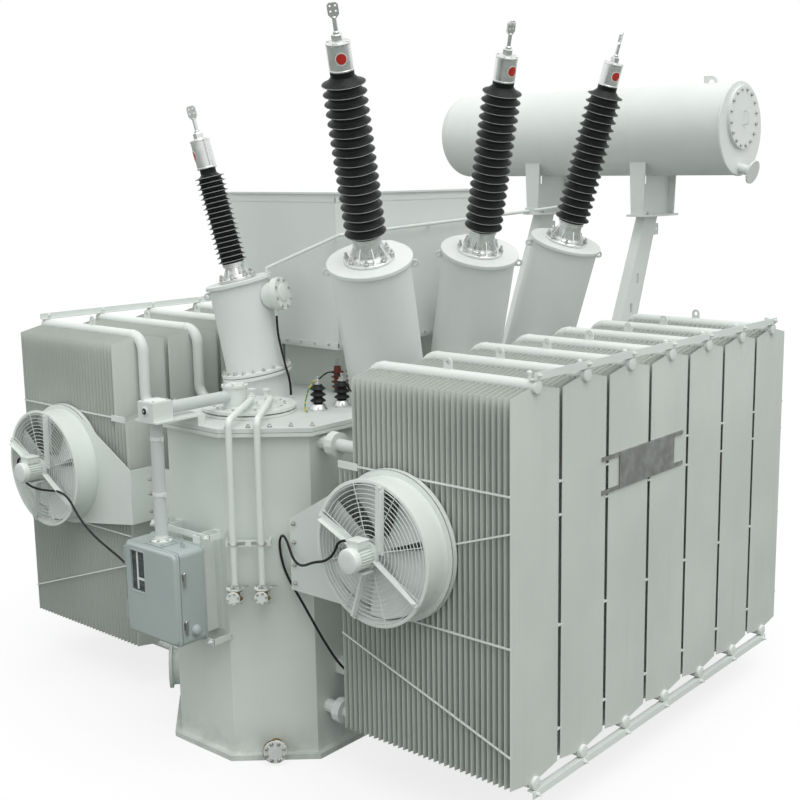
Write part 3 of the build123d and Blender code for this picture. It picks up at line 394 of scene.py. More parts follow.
class Wire:
    """A value in a material's nodes, whose operators add the Math nodes that work it out."""

    def __init__(self, sheet: "NodeSheet", socket: bpy.types.NodeSocket) -> None:
        """Keeps the node sheet and the output socket.

        Args:
            sheet: The node sheet.
            socket: The output socket.
        """
        self.sheet = sheet
        self.socket = socket

    def _math(self, operation: str, *values: Any) -> "Wire":
        """Adds one Math node."""
        return self.sheet.add("ShaderNodeMath", {"operation": operation}, dict(enumerate(values)))

    def __add__(self, other: Any) -> "Wire":
        """self + other."""
        return self._math("ADD", self, other)

    def __rsub__(self, other: Any) -> "Wire":
        """other - self."""
        return self._math("SUBTRACT", other, self)

    def __mul__(self, other: Any) -> "Wire":
        """self * other."""
        return self._math("MULTIPLY", self, other)

    __radd__ = __add__
    __rmul__ = __mul__

    def between(self, low: float, high: float) -> "Wire":
        """0 below low, 1 above high, and smooth between."""
        return self.sheet.add(
            "ShaderNodeMapRange", {"interpolation_type": "SMOOTHSTEP"}, {0: self, 1: low, 2: high}
        )


class NodeSheet:
    """The nodes of one material, with one way to add a node of any type."""

    def __init__(self, name: str) -> None:
        """Makes an empty material with its output."""
        self.material = bpy.data.materials.new(name)
        self.material.use_nodes = True
        self.tree = self.material.node_tree
        self.tree.nodes.clear()
        self.output = self.tree.nodes.new("ShaderNodeOutputMaterial")

    def add(self, kind: str, settings: dict[str, Any] | None = None, inputs: dict[Any, Any] | None = None,
            output: int | str = 0) -> Wire:
        """Adds a node.

        Args:
            kind: The node's type.
            settings: Attributes set before the sockets.
            inputs: Socket name or number to a value or a Wire.
            output: The output socket that the result stands for.

        Returns:
            The output as a Wire.
        """
        node = self.tree.nodes.new(kind)
        for key, value in (settings or {}).items():
            setattr(node, key, value)
        for key, value in (inputs or {}).items():
            if isinstance(value, Wire):
                self.tree.links.new(value.socket, node.inputs[key])
            else:
                node.inputs[key].default_value = value
        return Wire(self, node.outputs[output])

    def place(self) -> Wire:
        """Object coordinates, which are the frame's own metres on every piece."""
        return self.add("ShaderNodeTexCoord", output="Object")

    def stretched(self, scale: Triple) -> Wire:
        """Object coordinates scaled along each direction."""
        return self.add("ShaderNodeMapping", {"vector_type": "POINT"},
                        {"Vector": self.place(), "Scale": scale})

    def noise(self, scale: float, detail: float = 3.0, vector: Wire | None = None) -> Wire:
        """Noise of a scale per metre, about 0.5."""
        inputs = {"Vector": vector or self.place(), "Scale": scale, "Detail": detail}
        return self.add("ShaderNodeTexNoise", None, inputs)

    def tint(self, share: Any, first: Any, second: Any) -> Wire:
        """Mix of two colours by a share."""
        inputs = {0: share, 6: first, 7: second}
        settings = {"data_type": "RGBA"}
        return self.add("ShaderNodeMix", settings, inputs, output=2)

    def height(self) -> Wire:
        """Height above the ground in metres."""
        return self.add("ShaderNodeSeparateXYZ", None, {0: self.place()}, output=2)

    def upward(self) -> Wire:
        """The upward share of the face's normal."""
        normal = self.add("ShaderNodeNewGeometry", output="Normal")
        return self.add("ShaderNodeSeparateXYZ", None, {0: normal}, output=2)

    def finish(self, sockets: dict[str, Any]) -> bpy.types.Material:
        """Ends the sheet with a Principled shader.

        Args:
            sockets: Socket name to value or Wire.

        Returns:
            The material.
        """
        shader = self.add("ShaderNodeBsdfPrincipled", None, sockets)
        self.tree.links.new(shader.socket, self.output.inputs["Surface"])
        return self.material


def rgba(colour: Sequence[float]) -> tuple[float, float, float, float]:
    """A colour with full alpha."""
    return (*colour, 1.0)


@dataclass(frozen=True)
class Paint:
    """Sprayed paint: soft mottling, faint run-off streaks on side faces, grime near the ground."""

    name: str
    colour: Triple
    roughness: float = 0.38
    mottle: float = 0.05
    streaks: float = 0.06
    grime: Triple = (0.36, 0.37, 0.33)
    grime_height: float = 0.35
    orange_peel: float = 0.012

    def material(self) -> bpy.types.Material:
        """Builds the paint's nodes.

        Returns:
            The material.
        """
        sheet = NodeSheet(self.name)
        cloud = sheet.noise(0.9, 4.0)
        streak = sheet.noise(1.0, 5.0, sheet.stretched((9.0, 9.0, 0.55)))
        deep = tuple(value * (1 - 2.6 * self.mottle) for value in self.colour)
        pale = tuple(min(1.0, value * (1 + 1.2 * self.mottle)) for value in self.colour)
        base = sheet.tint(cloud.between(0.3, 0.7), rgba(deep), rgba(pale))
        side_face = 1 - sheet.upward().between(0.2, 0.8)
        runs = streak.between(0.56, 0.78) * side_face * self.streaks
        stained = sheet.tint(runs, base, rgba(self.grime))
        near_ground = 1 - sheet.height().between(0.02, self.grime_height)
        low = near_ground * sheet.noise(7.0, 5.0).between(0.35, 0.7) * 0.34
        coloured = sheet.tint(low, stained, rgba(self.grime))
        rough = sheet.noise(5.0, 3.0) * 0.12 + (self.roughness - 0.06) + low * 0.35
        peel = sheet.add("ShaderNodeBump", None,
                         {"Strength": 0.35, "Distance": self.orange_peel,
                          "Height": sheet.noise(60.0, 2.0) * 0.05})
        return sheet.finish({"Base Color": coloured, "Roughness": rough, "Normal": peel, "IOR": 1.46})


@dataclass(frozen=True)
class Metal:
    """Bare metal with fine lines along one direction and dull clouds."""

    name: str
    colour: Triple
    roughness: float = 0.32
    lines: Triple = (40.0, 40.0, 400.0)
    dull: float = 0.25
    line_depth: float = 0.0015
    metallic: float = 1.0

    def material(self) -> bpy.types.Material:
        """Builds the metal's nodes.

        Returns:
            The material.
        """
        sheet = NodeSheet(self.name)
        lines = sheet.noise(1.0, 2.0, sheet.stretched(self.lines))
        cloud = sheet.noise(14.0, 4.0)
        dark = tuple(value * (1 - self.dull) for value in self.colour)
        colour = sheet.tint(cloud.between(0.3, 0.75), rgba(dark), rgba(self.colour))
        rough = lines * 0.14 + cloud * 0.16 + (self.roughness - 0.13)
        bump = sheet.add("ShaderNodeBump", None, {"Strength": 0.5, "Distance": self.line_depth,
                                                  "Height": lines})
        return sheet.finish({"Base Color": colour, "Roughness": rough, "Metallic": self.metallic,
                             "Normal": bump})


@dataclass(frozen=True)
class Rubber:
    """Black rubber with a faint bloom and dust on what faces up."""

    name: str
    colour: Triple = (0.012, 0.013, 0.015)
    dust: Triple = (0.16, 0.17, 0.17)
    dustiness: float = 0.35
    roughness: float = 0.42
    shine: float = 0.25

    def material(self) -> bpy.types.Material:
        """Builds the rubber's nodes.

        Returns:
            The material.
        """
        sheet = NodeSheet(self.name)
        speck = sheet.noise(34.0, 5.0)
        settled = sheet.upward().between(0.15, 0.95) * speck.between(0.35, 0.8) * self.dustiness
        colour = sheet.tint(settled, rgba(self.colour), rgba(self.dust))
        rough = settled * 0.5 + sheet.noise(6.0) * 0.15 + (self.roughness - 0.07)
        bump = sheet.add("ShaderNodeBump", None,
                         {"Strength": 0.25, "Distance": 0.002, "Height": sheet.noise(160.0, 2.0)})
        return sheet.finish({"Base Color": colour, "Roughness": rough, "Normal": bump,
                             "Specular IOR Level": self.shine})


@dataclass(frozen=True)
class Glass:
    """Dark window glass with a faint smear, which hides what is behind it."""

    name: str
    colour: Triple = (0.05, 0.06, 0.065)

    def material(self) -> bpy.types.Material:
        """Builds the glass's nodes.

        Returns:
            The material.
        """
        sheet = NodeSheet(self.name)
        smear = sheet.noise(9.0, 4.0, sheet.stretched((1.0, 1.0, 3.0)))
        colour = sheet.tint(smear.between(0.4, 0.8), rgba(self.colour), rgba((0.11, 0.13, 0.14)))
        return sheet.finish({"Base Color": colour, "Roughness": smear * 0.1 + 0.03, "IOR": 1.5})


@dataclass(frozen=True)
class Stripes:
    """Yellow insulation with green bands, as an earth lead has."""

    name: str
    first: Triple = (0.62, 0.52, 0.04)
    second: Triple = (0.05, 0.27, 0.06)

    def material(self) -> bpy.types.Material:
        """Builds the bands.

        Returns:
            The material.
        """
        sheet = NodeSheet(self.name)
        bands = sheet.noise(60.0, 1.0, sheet.stretched((0.6, 0.6, 1.0)))
        colour = sheet.tint(bands.between(0.47, 0.53), rgba(self.first), rgba(self.second))
        return sheet.finish({"Base Color": colour, "Roughness": bands * 0.2 + 0.35})


class Look(Enum):
    """Every finish on the transformer, with the record's slot that it belongs to."""

    BODY = ("grey_paint", Paint("body_paint", (0.69, 0.735, 0.7), mottle=0.03))
    TOP = ("grey_paint", Paint("cover_paint", (0.68, 0.71, 0.69), mottle=0.05, roughness=0.45))
    FINS = ("grey_paint", Paint("fin_paint", (0.6, 0.64, 0.6), roughness=0.44, streaks=0.1, mottle=0.03))
    FITTINGS = ("grey_paint", Paint("fitting_paint", (0.74, 0.78, 0.755), roughness=0.34, mottle=0.025))
    UPPER = ("grey_paint", Paint("upper_paint", (0.765, 0.79, 0.775), mottle=0.02, streaks=0.03))
    GUARDS = ("grey_paint", Paint("guard_paint", (0.6, 0.64, 0.63), roughness=0.36, mottle=0.04))
    CABINET = ("cabinet_paint", Paint("cabinet_shell", (0.4, 0.455, 0.45), roughness=0.42, mottle=0.04))
    SHEDS = ("black_rubber", Rubber("shed_rubber", (0.006, 0.007, 0.008), dustiness=0.16))
    # Pale grey beads on the shed lips: a painted highlight where the lips catch the light, paler still on
    # their upper faces.
    RIMS = ("black_rubber", Rubber("shed_rim_painted_highlight", (0.26, 0.27, 0.275), (0.5, 0.51, 0.51), 0.6, 0.5, 0.5))
    CABLE = ("cable_black", Rubber("cable_jacket", dustiness=0.12, roughness=0.5))
    CLAY = ("black_rubber", Rubber("brown_glaze", (0.16, 0.035, 0.018), (0.28, 0.12, 0.08), 0.25, 0.22, 0.5))
    STRIPED = ("cable_black", Stripes("earth_stripes"))
    MARKER = ("cable_black", Rubber("red_disc", (0.55, 0.03, 0.02), (0.6, 0.16, 0.12), 0.2, 0.35, 0.4))
    ALUMINIUM = ("aluminium", Metal("cast_aluminium", (0.86, 0.88, 0.87), 0.27, (9.0, 9.0, 30.0), 0.12,
                                    0.0003))
    PLATE = ("brushed", Metal("brushed_plate", (0.55, 0.56, 0.55), lines=(30.0, 2.0, 420.0), roughness=0.36))
    BRASS = ("brass", Metal("dull_brass", (0.47, 0.33, 0.13), roughness=0.42, dull=0.5))
    ZINC = ("zinc", Metal("zinc_plate", (0.66, 0.67, 0.65), roughness=0.4))
    BLADES = ("blade_grey", Paint("blade_paint", (0.72, 0.75, 0.74), roughness=0.36))
    GLASS = ("glass", Glass("cabinet_glass"))

    @property
    def slot(self) -> str:
        """The record's slot name."""
        return self.value[0]

    def material(self) -> bpy.types.Material:
        """The finish's material, built the first time it is asked for."""
        finish = self.value[1]
        return bpy.data.materials.get(finish.name) or finish.material()


def finish_piece(made: bpy.types.Object, look: Look, body: str = ROOT, replaces: Sequence[str] = ()) -> None:
    """Gives a new piece its finish, its body and the nodes that it stands for.

    Args:
        made: The new piece's object.
        look: Its finish.
        body: The body that it moves with.
        replaces: Nodes that it stands for.
    """
    made.data.materials.clear()
    made.data.materials.append(look.material())
    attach(made, body)
    if replaces:
        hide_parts(*replaces)
    log.info("%s: %s on %s", made.name, look.name.lower(), body)


def dress_node(frame: dict[str, Any], node: str, look: Look) -> None:
    """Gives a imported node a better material, with its mesh left as it is.

    Args:
        node: Name of the node.
        look: Its finish.
    """
    shown = frame["nodes"][node]
    if shown.material_slots:
        for entry in shown.material_slots:
            entry.material = look.material()
    else:
        shown.data.materials.append(look.material())


# Radiators


@dataclass
class Radiators:
    """Both banks: pressed fins, headers with swept elbows, rails, ties and lugs."""

    pitch: float = 0.045
    tall: int = 30
    short: int = 3
    short_top: float = 2.29
    thickness: float = 0.0105
    seam: float = 0.0036
    seam_width: float = 0.007
    flutes: int = 7
    flute_depth: float = 0.0022
    tie_heights: tuple[float, ...] = (2.309, 2.086, 1.344, 0.623)
    shoulder_rise: float = 0.04
    shoulder_half: float = 0.075
    foot_rise: float = 0.03
    per_bank: int = 7
    pipe_radius: float = 0.0445
    elbow_x: float = 1.268
    elbow_radius: float = 0.13
    inlet_z: float = 2.362
    valve_x: float = 0.95
    lug_x: float = 1.95

    def spots(self) -> list[tuple[Bank, int, float]]:
        """Bank, number and middle Y of every radiator."""
        found = []
        for bank in Bank:
            for number in range(1, self.per_bank + 1):
                low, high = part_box(f"radiator_{bank.word}_{number}")
                found.append((bank, number, (low.y + high.y) / 2))
        return found

    def fin_section(self, width: float, samples: int = 25) -> Array:
        """Plan of one fin as (y, half thickness): seams at both edges, shallow flutes between.

        The half thickness eases from the seam to the full fin over 10 mm, less a cosine ripple
        with one crest for each flute.

        Args:
            width: Width of the fin.
            samples: Points from seam to middle.

        Returns:
            Rows of (y, half thickness).
        """
        edge = np.array([0.0, self.seam_width, self.seam_width + 0.004, self.seam_width + 0.01])
        body = np.linspace(self.seam_width + 0.018, width / 2, samples)[:-1]
        across = np.concatenate([edge, body]) - width / 2
        across = np.concatenate([across, [0.0], -across[::-1]])
        inside = width / 2 - np.abs(across)
        ease = np.clip((inside - self.seam_width) / 0.01, 0, 1)
        ease = ease * ease * (3 - 2 * ease)
        ripple = 0.5 - 0.5 * np.cos(TURN * self.flutes * (across / width + 0.5))
        full = self.thickness / 2 - self.flute_depth / 2 * ripple * np.clip(inside / 0.04 - 0.4, 0, 1)
        half = self.seam / 2 + (full - self.seam / 2) * ease
        return np.column_stack([across, half])

    def fin(self, width: float, low: float, high: float) -> Shape:
        """One fin about X = 0, Y = 0: its section carried up, pinched to the seam at both ends.

        The top edge is a roof: its height falls from the middle to the sides along a straight
        slope, and the foot is the same turned over with less slope.

        Args:
            width: Width of the fin.
            low: Height of its foot at the sides.
            high: Height of its top at the sides.

        Returns:
            The pattern.
        """
        section = self.fin_section(width)
        across, half = section.T
        away = np.clip((np.abs(across) - self.shoulder_half) / (width / 2 - self.shoulder_half), 0, 1)
        top = high + self.shoulder_rise * (1 - away)
        foot = low - self.foot_rise * (1 - away)
        levels = [(0.0, 0.0, 0.0), (0.008, 0.0, 0.0), (0.03, 0.0, 1.0), (0.0, -0.03, 1.0),
                  (0.0, -0.008, 0.0), (0.0, 0.0, 0.0)]
        rows = []
        for number, (above, below, full) in enumerate(levels):
            z = foot + above if number < 3 else top + below
            thick = self.seam / 2 + (half - self.seam / 2) * full
            front = np.column_stack([thick, across, z])
            back = np.column_stack([-thick, across, z])[::-1]
            rows.append(np.concatenate([front, back]))
        made = Shape()
        made.surface(np.array(rows), wrap_v=True, ends=True)
        return made

    def build_fins(self, bank: Bank, number: int) -> None:
        """Makes one radiator's fins in place of its node.

        Args:
            bank: The bank, right or left.
            number: The radiator's number in its bank.
        """
        node = f"radiator_{bank.word}_{number}"
        low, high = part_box(node)
        width = high.y - low.y
        outer = max(abs(low.x), abs(high.x)) - self.thickness / 2
        y = (low.y + high.y) / 2
        tall = self.fin(width, low.z, high.z)
        short = self.fin(width, low.z, self.short_top)
        radiator = Shape()
        places = [Seat((bank.value * (outer - self.pitch * i), y, 0)) for i in range(self.tall + self.short)]
        radiator.stamp(places[:self.tall], tall)
        radiator.stamp(places[self.tall:], short)
        finish_piece(radiator.object(f"fins_{bank.word}_{number}", 50.0), Look.FINS, replaces=[node])

    def header_path(self, bank: Bank, y: float, end_x: float, z: float) -> Array:
        """Line of an upper header: along the fins, down its elbow and in to its valve.

        Args:
            bank: The bank, right or left.
            y: The header's Y.
            end_x: Distance of its end from the middle.
            z: Height of its axis.

        Returns:
            The line's points.
        """
        side = bank.value
        runs = [(side * end_x, y, z), (side * self.elbow_x, y, z), (side * self.elbow_x, y, self.inlet_z),
                (side * self.valve_x, y, self.inlet_z)]
        return bend(runs, self.elbow_radius, 8)

    def build_headers(self) -> None:
        """Makes the upper and lower pipes with domed ends, weld beads and lifting lugs."""
        r = self.pipe_radius
        low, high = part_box("headers")
        end_x = high.x
        top_z = high.z - r
        low_z = low.z + r
        pipes = Shape()
        eye = lug(0.07, 0.045, 0.016, 0.01)
        dome = [
            (r * 1.01, -0.012), (r * 1.01, 0.0), (r * 0.93, 0.0045), (r * 0.6, 0.007), (r * 0.2, 0.008)]
        bead = [(r - 0.001, -0.005), (r + 0.003, -0.002), (r + 0.003, 0.002), (r - 0.001, 0.005)]
        for bank, _, y in self.spots():
            pipes.tube(self.header_path(bank, y, end_x - 0.008, top_z), r, 24)
            ends = np.array([(bank.value * (end_x - 0.008), y, low_z),
                             (bank.value * self.valve_x, y, low_z)])
            pipes.tube(ends, r, 24)
            for z in (top_z, low_z):
                pipes.turned(Seat((bank.value * (end_x - 0.008), y, z), (bank.value, 0, 0)), dome, 28)
            for x, z in ((self.elbow_x + self.elbow_radius, top_z), (end_x - 0.03, top_z),
                         (end_x - 0.03, low_z)):
                pipes.turned(Seat((bank.value * x, y, z), (bank.value, 0, 0)), bead, 24)
            pipes.stamp([Seat((bank.value * self.lug_x, y, top_z + r - 0.006))], eye)
        finish_piece(pipes.object("header_pipes", 40.0), Look.FITTINGS, replaces=["headers"])

    def build_ties(self) -> None:
        """Adds the small tie bars that show in the gaps between neighbouring radiators."""
        bars = Shape()
        for bank in Bank:
            boxes = [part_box(f"radiator_{bank.word}_{n}") for n in range(1, self.per_bank + 1)]
            outer = max(abs(boxes[0][0].x), abs(boxes[0][1].x))
            for (_, high), (low, _) in zip(boxes[:-1], boxes[1:]):
                start, end = min(high.y, low.y), max(high.y, low.y)
                for z in self.tie_heights:
                    reach = sorted((bank.value * (outer - 0.002), bank.value * (outer - 0.4)))
                    bars.block((reach[0], start - 0.002, z - 0.006), (reach[1], end + 0.002, z + 0.006))
        finish_piece(bars.object("gap_ties"), Look.FITTINGS)

    def build_rail_bolts(self) -> None:
        """Adds a bolt and a vent plug over each header's end."""
        low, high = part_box("radiator_rails")
        nuts = Shape()
        pattern = bolt(0.016, stud=0.012)
        vent = Shape()
        vent.turned(Seat((0, 0, 0)), [
            (0.012, 0), (0.012, 0.03), (0.017, 0.03), (0.017, 0.045), (0.009, 0.052)], 12)
        for bank, _, y in self.spots():
            face = Seat((bank.value * high.x, y, high.z - 0.022), (bank.value, 0, 0))
            foot = Seat((bank.value * high.x, y, low.z + 0.022), (bank.value, 0, 0))
            nuts.stamp([face, foot], pattern)
            nuts.stamp([Seat((bank.value * (high.x - 0.07), y, high.z - 0.05))], vent)
        finish_piece(nuts.object("rail_bolts"), Look.FITTINGS)

    def build(self) -> None:
        """Builds both banks."""
        for bank, number, _ in self.spots():
            self.build_fins(bank, number)
        self.build_headers()
        self.build_ties()
        self.build_rail_bolts()


# Bushings


@dataclass
class Bushing:
    """One leaning bushing on its turret: foot, sheds, cap, terminal, bolts and lugs."""

    name: str
    top: Triple
    lean: tuple[float, float]
    aim: tuple[float, float]
    turret_radius: float = 0.3
    flange_radius: float = 0.322
    foot_radius: float = 0.192
    sleeve: float = 0.196
    sleeve_radius: float = 0.105
    core: float = 0.118
    tip: float = 0.152
    sheds: int = 17
    shed_length: float = 1.18
    neck: float = 0.04
    neck_radius: float = 0.084
    cap_radius: float = 0.088
    cap_height: float = 0.196
    dot_turn: float = 0.0
    lug_turns: tuple[float, ...] = (219.0, 39.0)
    nut: tuple[float, float] = (0.04, 0.054)
    rod: tuple[float, float] = (0.016, 0.115)
    flag_half: float = 0.038
    flag_taper: float = 0.026
    flag_height: float = 0.104
    flag_corner: float = 0.014
    flag_thickness: float = 0.016
    flag_seat: float = 0.012

    @property
    def seat(self) -> Seat:
        """The turret's top, with the axis up the bushing."""
        return Seat(self.top, (*self.lean, 1.0))

    @property
    def cap_start(self) -> float:
        """Height of the cap's foot over the turret."""
        return self.sleeve + self.shed_length + self.neck

    def shed_profile(self) -> list[tuple[float, float]]:
        """Radius and height of every shed: hollow underneath, a thin lip, a cone above.

        Returns:
            The profile, from the foot up.
        """
        pitch = self.shed_length / self.sheds
        depth = self.tip - self.core
        one = [(0.0, 0.02), (0.12, 0.17), (0.8, 0.275), (1.0, 0.3), (1.0, 0.335), (0.8, 0.385),
               (0.3, 0.6), (0.04, 0.8)]
        points = [(self.core, -0.002)]
        for number in range(self.sheds):
            points += [(self.core + depth * out, (number + up) * pitch) for out, up in one]
        end = self.shed_length
        return points[:-2] + [(self.core - 0.006, end - 0.4 * pitch), (self.neck_radius + 0.004, end - 0.002),
                              (self.neck_radius, end + 0.004), (self.neck_radius, end + self.neck)]

    def add_sheds(self, stacks: Shape, rims: Shape) -> None:
        """Adds the stack of sheds and a pale bead along each shed's lip, a painted highlight where the lip
        catches the light.

        Args:
            stacks: Takes the sheds.
            rims: Takes the beads of painted highlight.
        """
        foot = self.seat.moved(z=self.sleeve)
        stacks.turned(foot, self.shed_profile(), 56)
        pitch = self.shed_length / self.sheds
        # Each bead is a painted highlight: a pale ring just outside the shed's lip.
        bead, skin = 0.003, self.tip + 0.0002
        for number in range(self.sheds):
            middle = (number + 0.322) * pitch
            ring = [(skin + bead * cos(a), middle + bead * sin(a)) for a in np.arange(5) * TURN / 5]
            rims.turned(foot, ring, 56, loop=True)

    def add_foot(self, foot: Shape) -> None:
        """Adds the cast foot: flange, bead at the sheds, sleeve and eight ribs.

        Args:
            foot: Takes the foot.
        """
        r, s, h, seat = self.foot_radius, self.sleeve_radius, self.sleeve, self.seat
        foot.turned(seat, [
            (r - 0.004, 0.001), (r, 0.004), (r, 0.02), (r - 0.004, 0.024), (s + 0.016, 0.024),
            (s + 0.004, 0.034), (s, 0.048), (s, h - 0.034), (s + 0.01, h - 0.028), (s + 0.01, h - 0.006),
            (s + 0.006, h - 0.001), (s - 0.02, h)], 48)
        rib = [(0.0, 0.0), (r - 0.03 - s, 0.0), (0.004, h * 0.5), (0.0, h * 0.5)]
        rows = seat.rows()
        for angle in np.arange(8) * TURN / 8 + 0.2:
            out = cos(angle) * rows[0] + sin(angle) * rows[1]
            start = np.asarray(self.top) + out * (s - 0.001) + rows[2] * 0.023
            foot.prism(Seat(start, np.cross(out, rows[2]), out), rib, 0.009, -0.0045)

    def add_studs(self, studs: Shape) -> None:
        """Adds the nuts and studs of the foot."""
        circle = ring_seats(self.seat, self.foot_radius - 0.021, 8, 0.024, 34.0)
        studs.stamp(circle, bolt(0.021, stud=0.022))

    def add_cap(self, caps: Shape) -> None:
        """Adds the spun cap with rolled edges, its nut, rod and flag with four holes.

        Args:
            caps: Takes the cap.
        """
        seat = self.seat.moved(z=self.cap_start)
        r, h = self.cap_radius, self.cap_height
        nut_r, nut_h = self.nut
        rod_r, rod_h = self.rod
        caps.turned(seat, [
            (r - 0.005, 0), (r, 0.004), (r, 0.012), (r - 0.003, 0.016), (r - 0.003, h - 0.016),
            (r, h - 0.012), (r, h - 0.003), (r - 0.006, h), (nut_r + 0.012, h), (nut_r + 0.008, h + 0.008),
            (nut_r - 0.002, h + 0.01)], 40)
        nut = [(nut_r - 0.004, h + 0.009), (nut_r, h + 0.013), (nut_r, h + nut_h - 0.006),
               (nut_r - 0.005, h + nut_h)]
        caps.turned(seat, nut, 6)
        caps.turned(seat, [
            (rod_r + 0.008, h + nut_h - 0.001), (rod_r + 0.008, h + nut_h + 0.014), (rod_r, h + nut_h + 0.02),
            (rod_r, h + nut_h + rod_h - 0.004), (rod_r - 0.004, h + nut_h + rod_h)], 24)
        caps.stamp(ring_seats(seat, r - 0.016, 4, h - 0.001, 20.0), bolt(0.01))
        caps.stamp([self.flag_seat_place(h + nut_h + rod_h)], self.flag_pattern())

    def flag_seat_place(self, rod_top: float) -> Seat:
        """Seat on the rod's end that faces the flag's aim: X across, Y up the bushing, Z out of its face.

        Args:
            rod_top: Height of the rod's end over the cap's foot.

        Returns:
            The seat.
        """
        seat = self.seat.moved(z=self.cap_start + rod_top - self.flag_seat)
        up = self.seat.rows()[2]
        level = np.array([*self.aim, 0.0])
        face = unit(level - up * np.dot(level, up))
        return Seat(seat.origin, face, np.cross(up, face)).moved(z=-self.flag_thickness / 2)

    def flag_pattern(self) -> Shape:
        """The terminal flag: tapered foot, cut corners and four holes.

        Returns:
            The pattern.
        """
        half, taper, tall, corner = self.flag_half, self.flag_taper, self.flag_height, self.flag_corner
        foot = self.rod[0]
        outline = [(-foot, 0), (foot, 0), (half, taper), (half, tall - corner), (half - corner, tall),
                   (corner - half, tall), (-half, tall - corner), (-half, taper)]
        middle = taper + (tall - taper) / 2
        angle = np.arange(16) * TURN / 16
        ring = 0.007 * np.column_stack([np.cos(angle), np.sin(angle)])
        holes = [ring + (x, middle + y) for x in (-0.018, 0.018) for y in (-0.018, 0.018)]
        return cut_plate(outline, holes, self.flag_thickness)

    def patch(self, radii: Sequence[float], skins: Sequence[float]) -> Array:
        """Rings of a round patch that follows the cap's curve, each with its height over the metal.

        Args:
            radii: Radius of each ring.
            skins: Height of each ring over the metal.

        Returns:
            Grid of the rings' points.
        """
        rows = self.seat.rows()
        angle = np.arange(28) * TURN / 28
        radius = np.asarray(radii)[:, None]
        reach = (self.cap_radius - 0.003 + np.asarray(skins))[:, None, None]
        wide = radius * np.cos(angle) / self.cap_radius + radians(self.dot_turn)
        up = (radius * np.sin(angle))[..., None]
        middle = np.asarray(self.seat.moved(z=self.cap_start + self.cap_height / 2).origin)
        out = np.cos(wide)[..., None] * rows[0] + np.sin(wide)[..., None] * rows[1]
        return middle + reach * out + up * rows[2]

    def add_dot(self, dots: Shape, rings: Shape) -> None:
        """Adds the plain red marker disc and its pale ring on the cap.

        Args:
            dots: Takes the disc.
            rings: Takes the pale ring.
        """
        dots.surface(self.patch((0.037, 0.026, 0.014, 0.001), (0.0022, 0.0024, 0.0024, 0.0024)), wrap_v=True,
                     ends=True)
        rings.surface(self.patch((0.044, 0.036, 0.036, 0.044), (0.0016, 0.0016, -0.003, -0.003)),
                      wrap_u=True, wrap_v=True)

    def add_turret_trim(self, trim: Shape) -> None:
        """Adds the rolled rim of the turret's flange and its lifting lugs.

        Args:
            trim: Takes the trim.
        """
        f = self.flange_radius
        trim.turned(self.seat, [(f - 0.012, -0.03), (f - 0.001, -0.03), (f + 0.002, -0.026),
                                (f + 0.002, -0.003), (f - 0.001, 0.0006), (f - 0.012, 0.0006)], 64, loop=True)
        rows = self.seat.rows()
        eye = lug(0.06, 0.04, 0.014, 0.012)
        for turn in np.radians(self.lug_turns):
            out = cos(turn) * rows[0] + sin(turn) * rows[1]
            foot = np.asarray(self.top) + out * (self.turret_radius - 0.006) - rows[2] * 0.075
            trim.stamp([Seat(foot, out, rows[2])], eye)


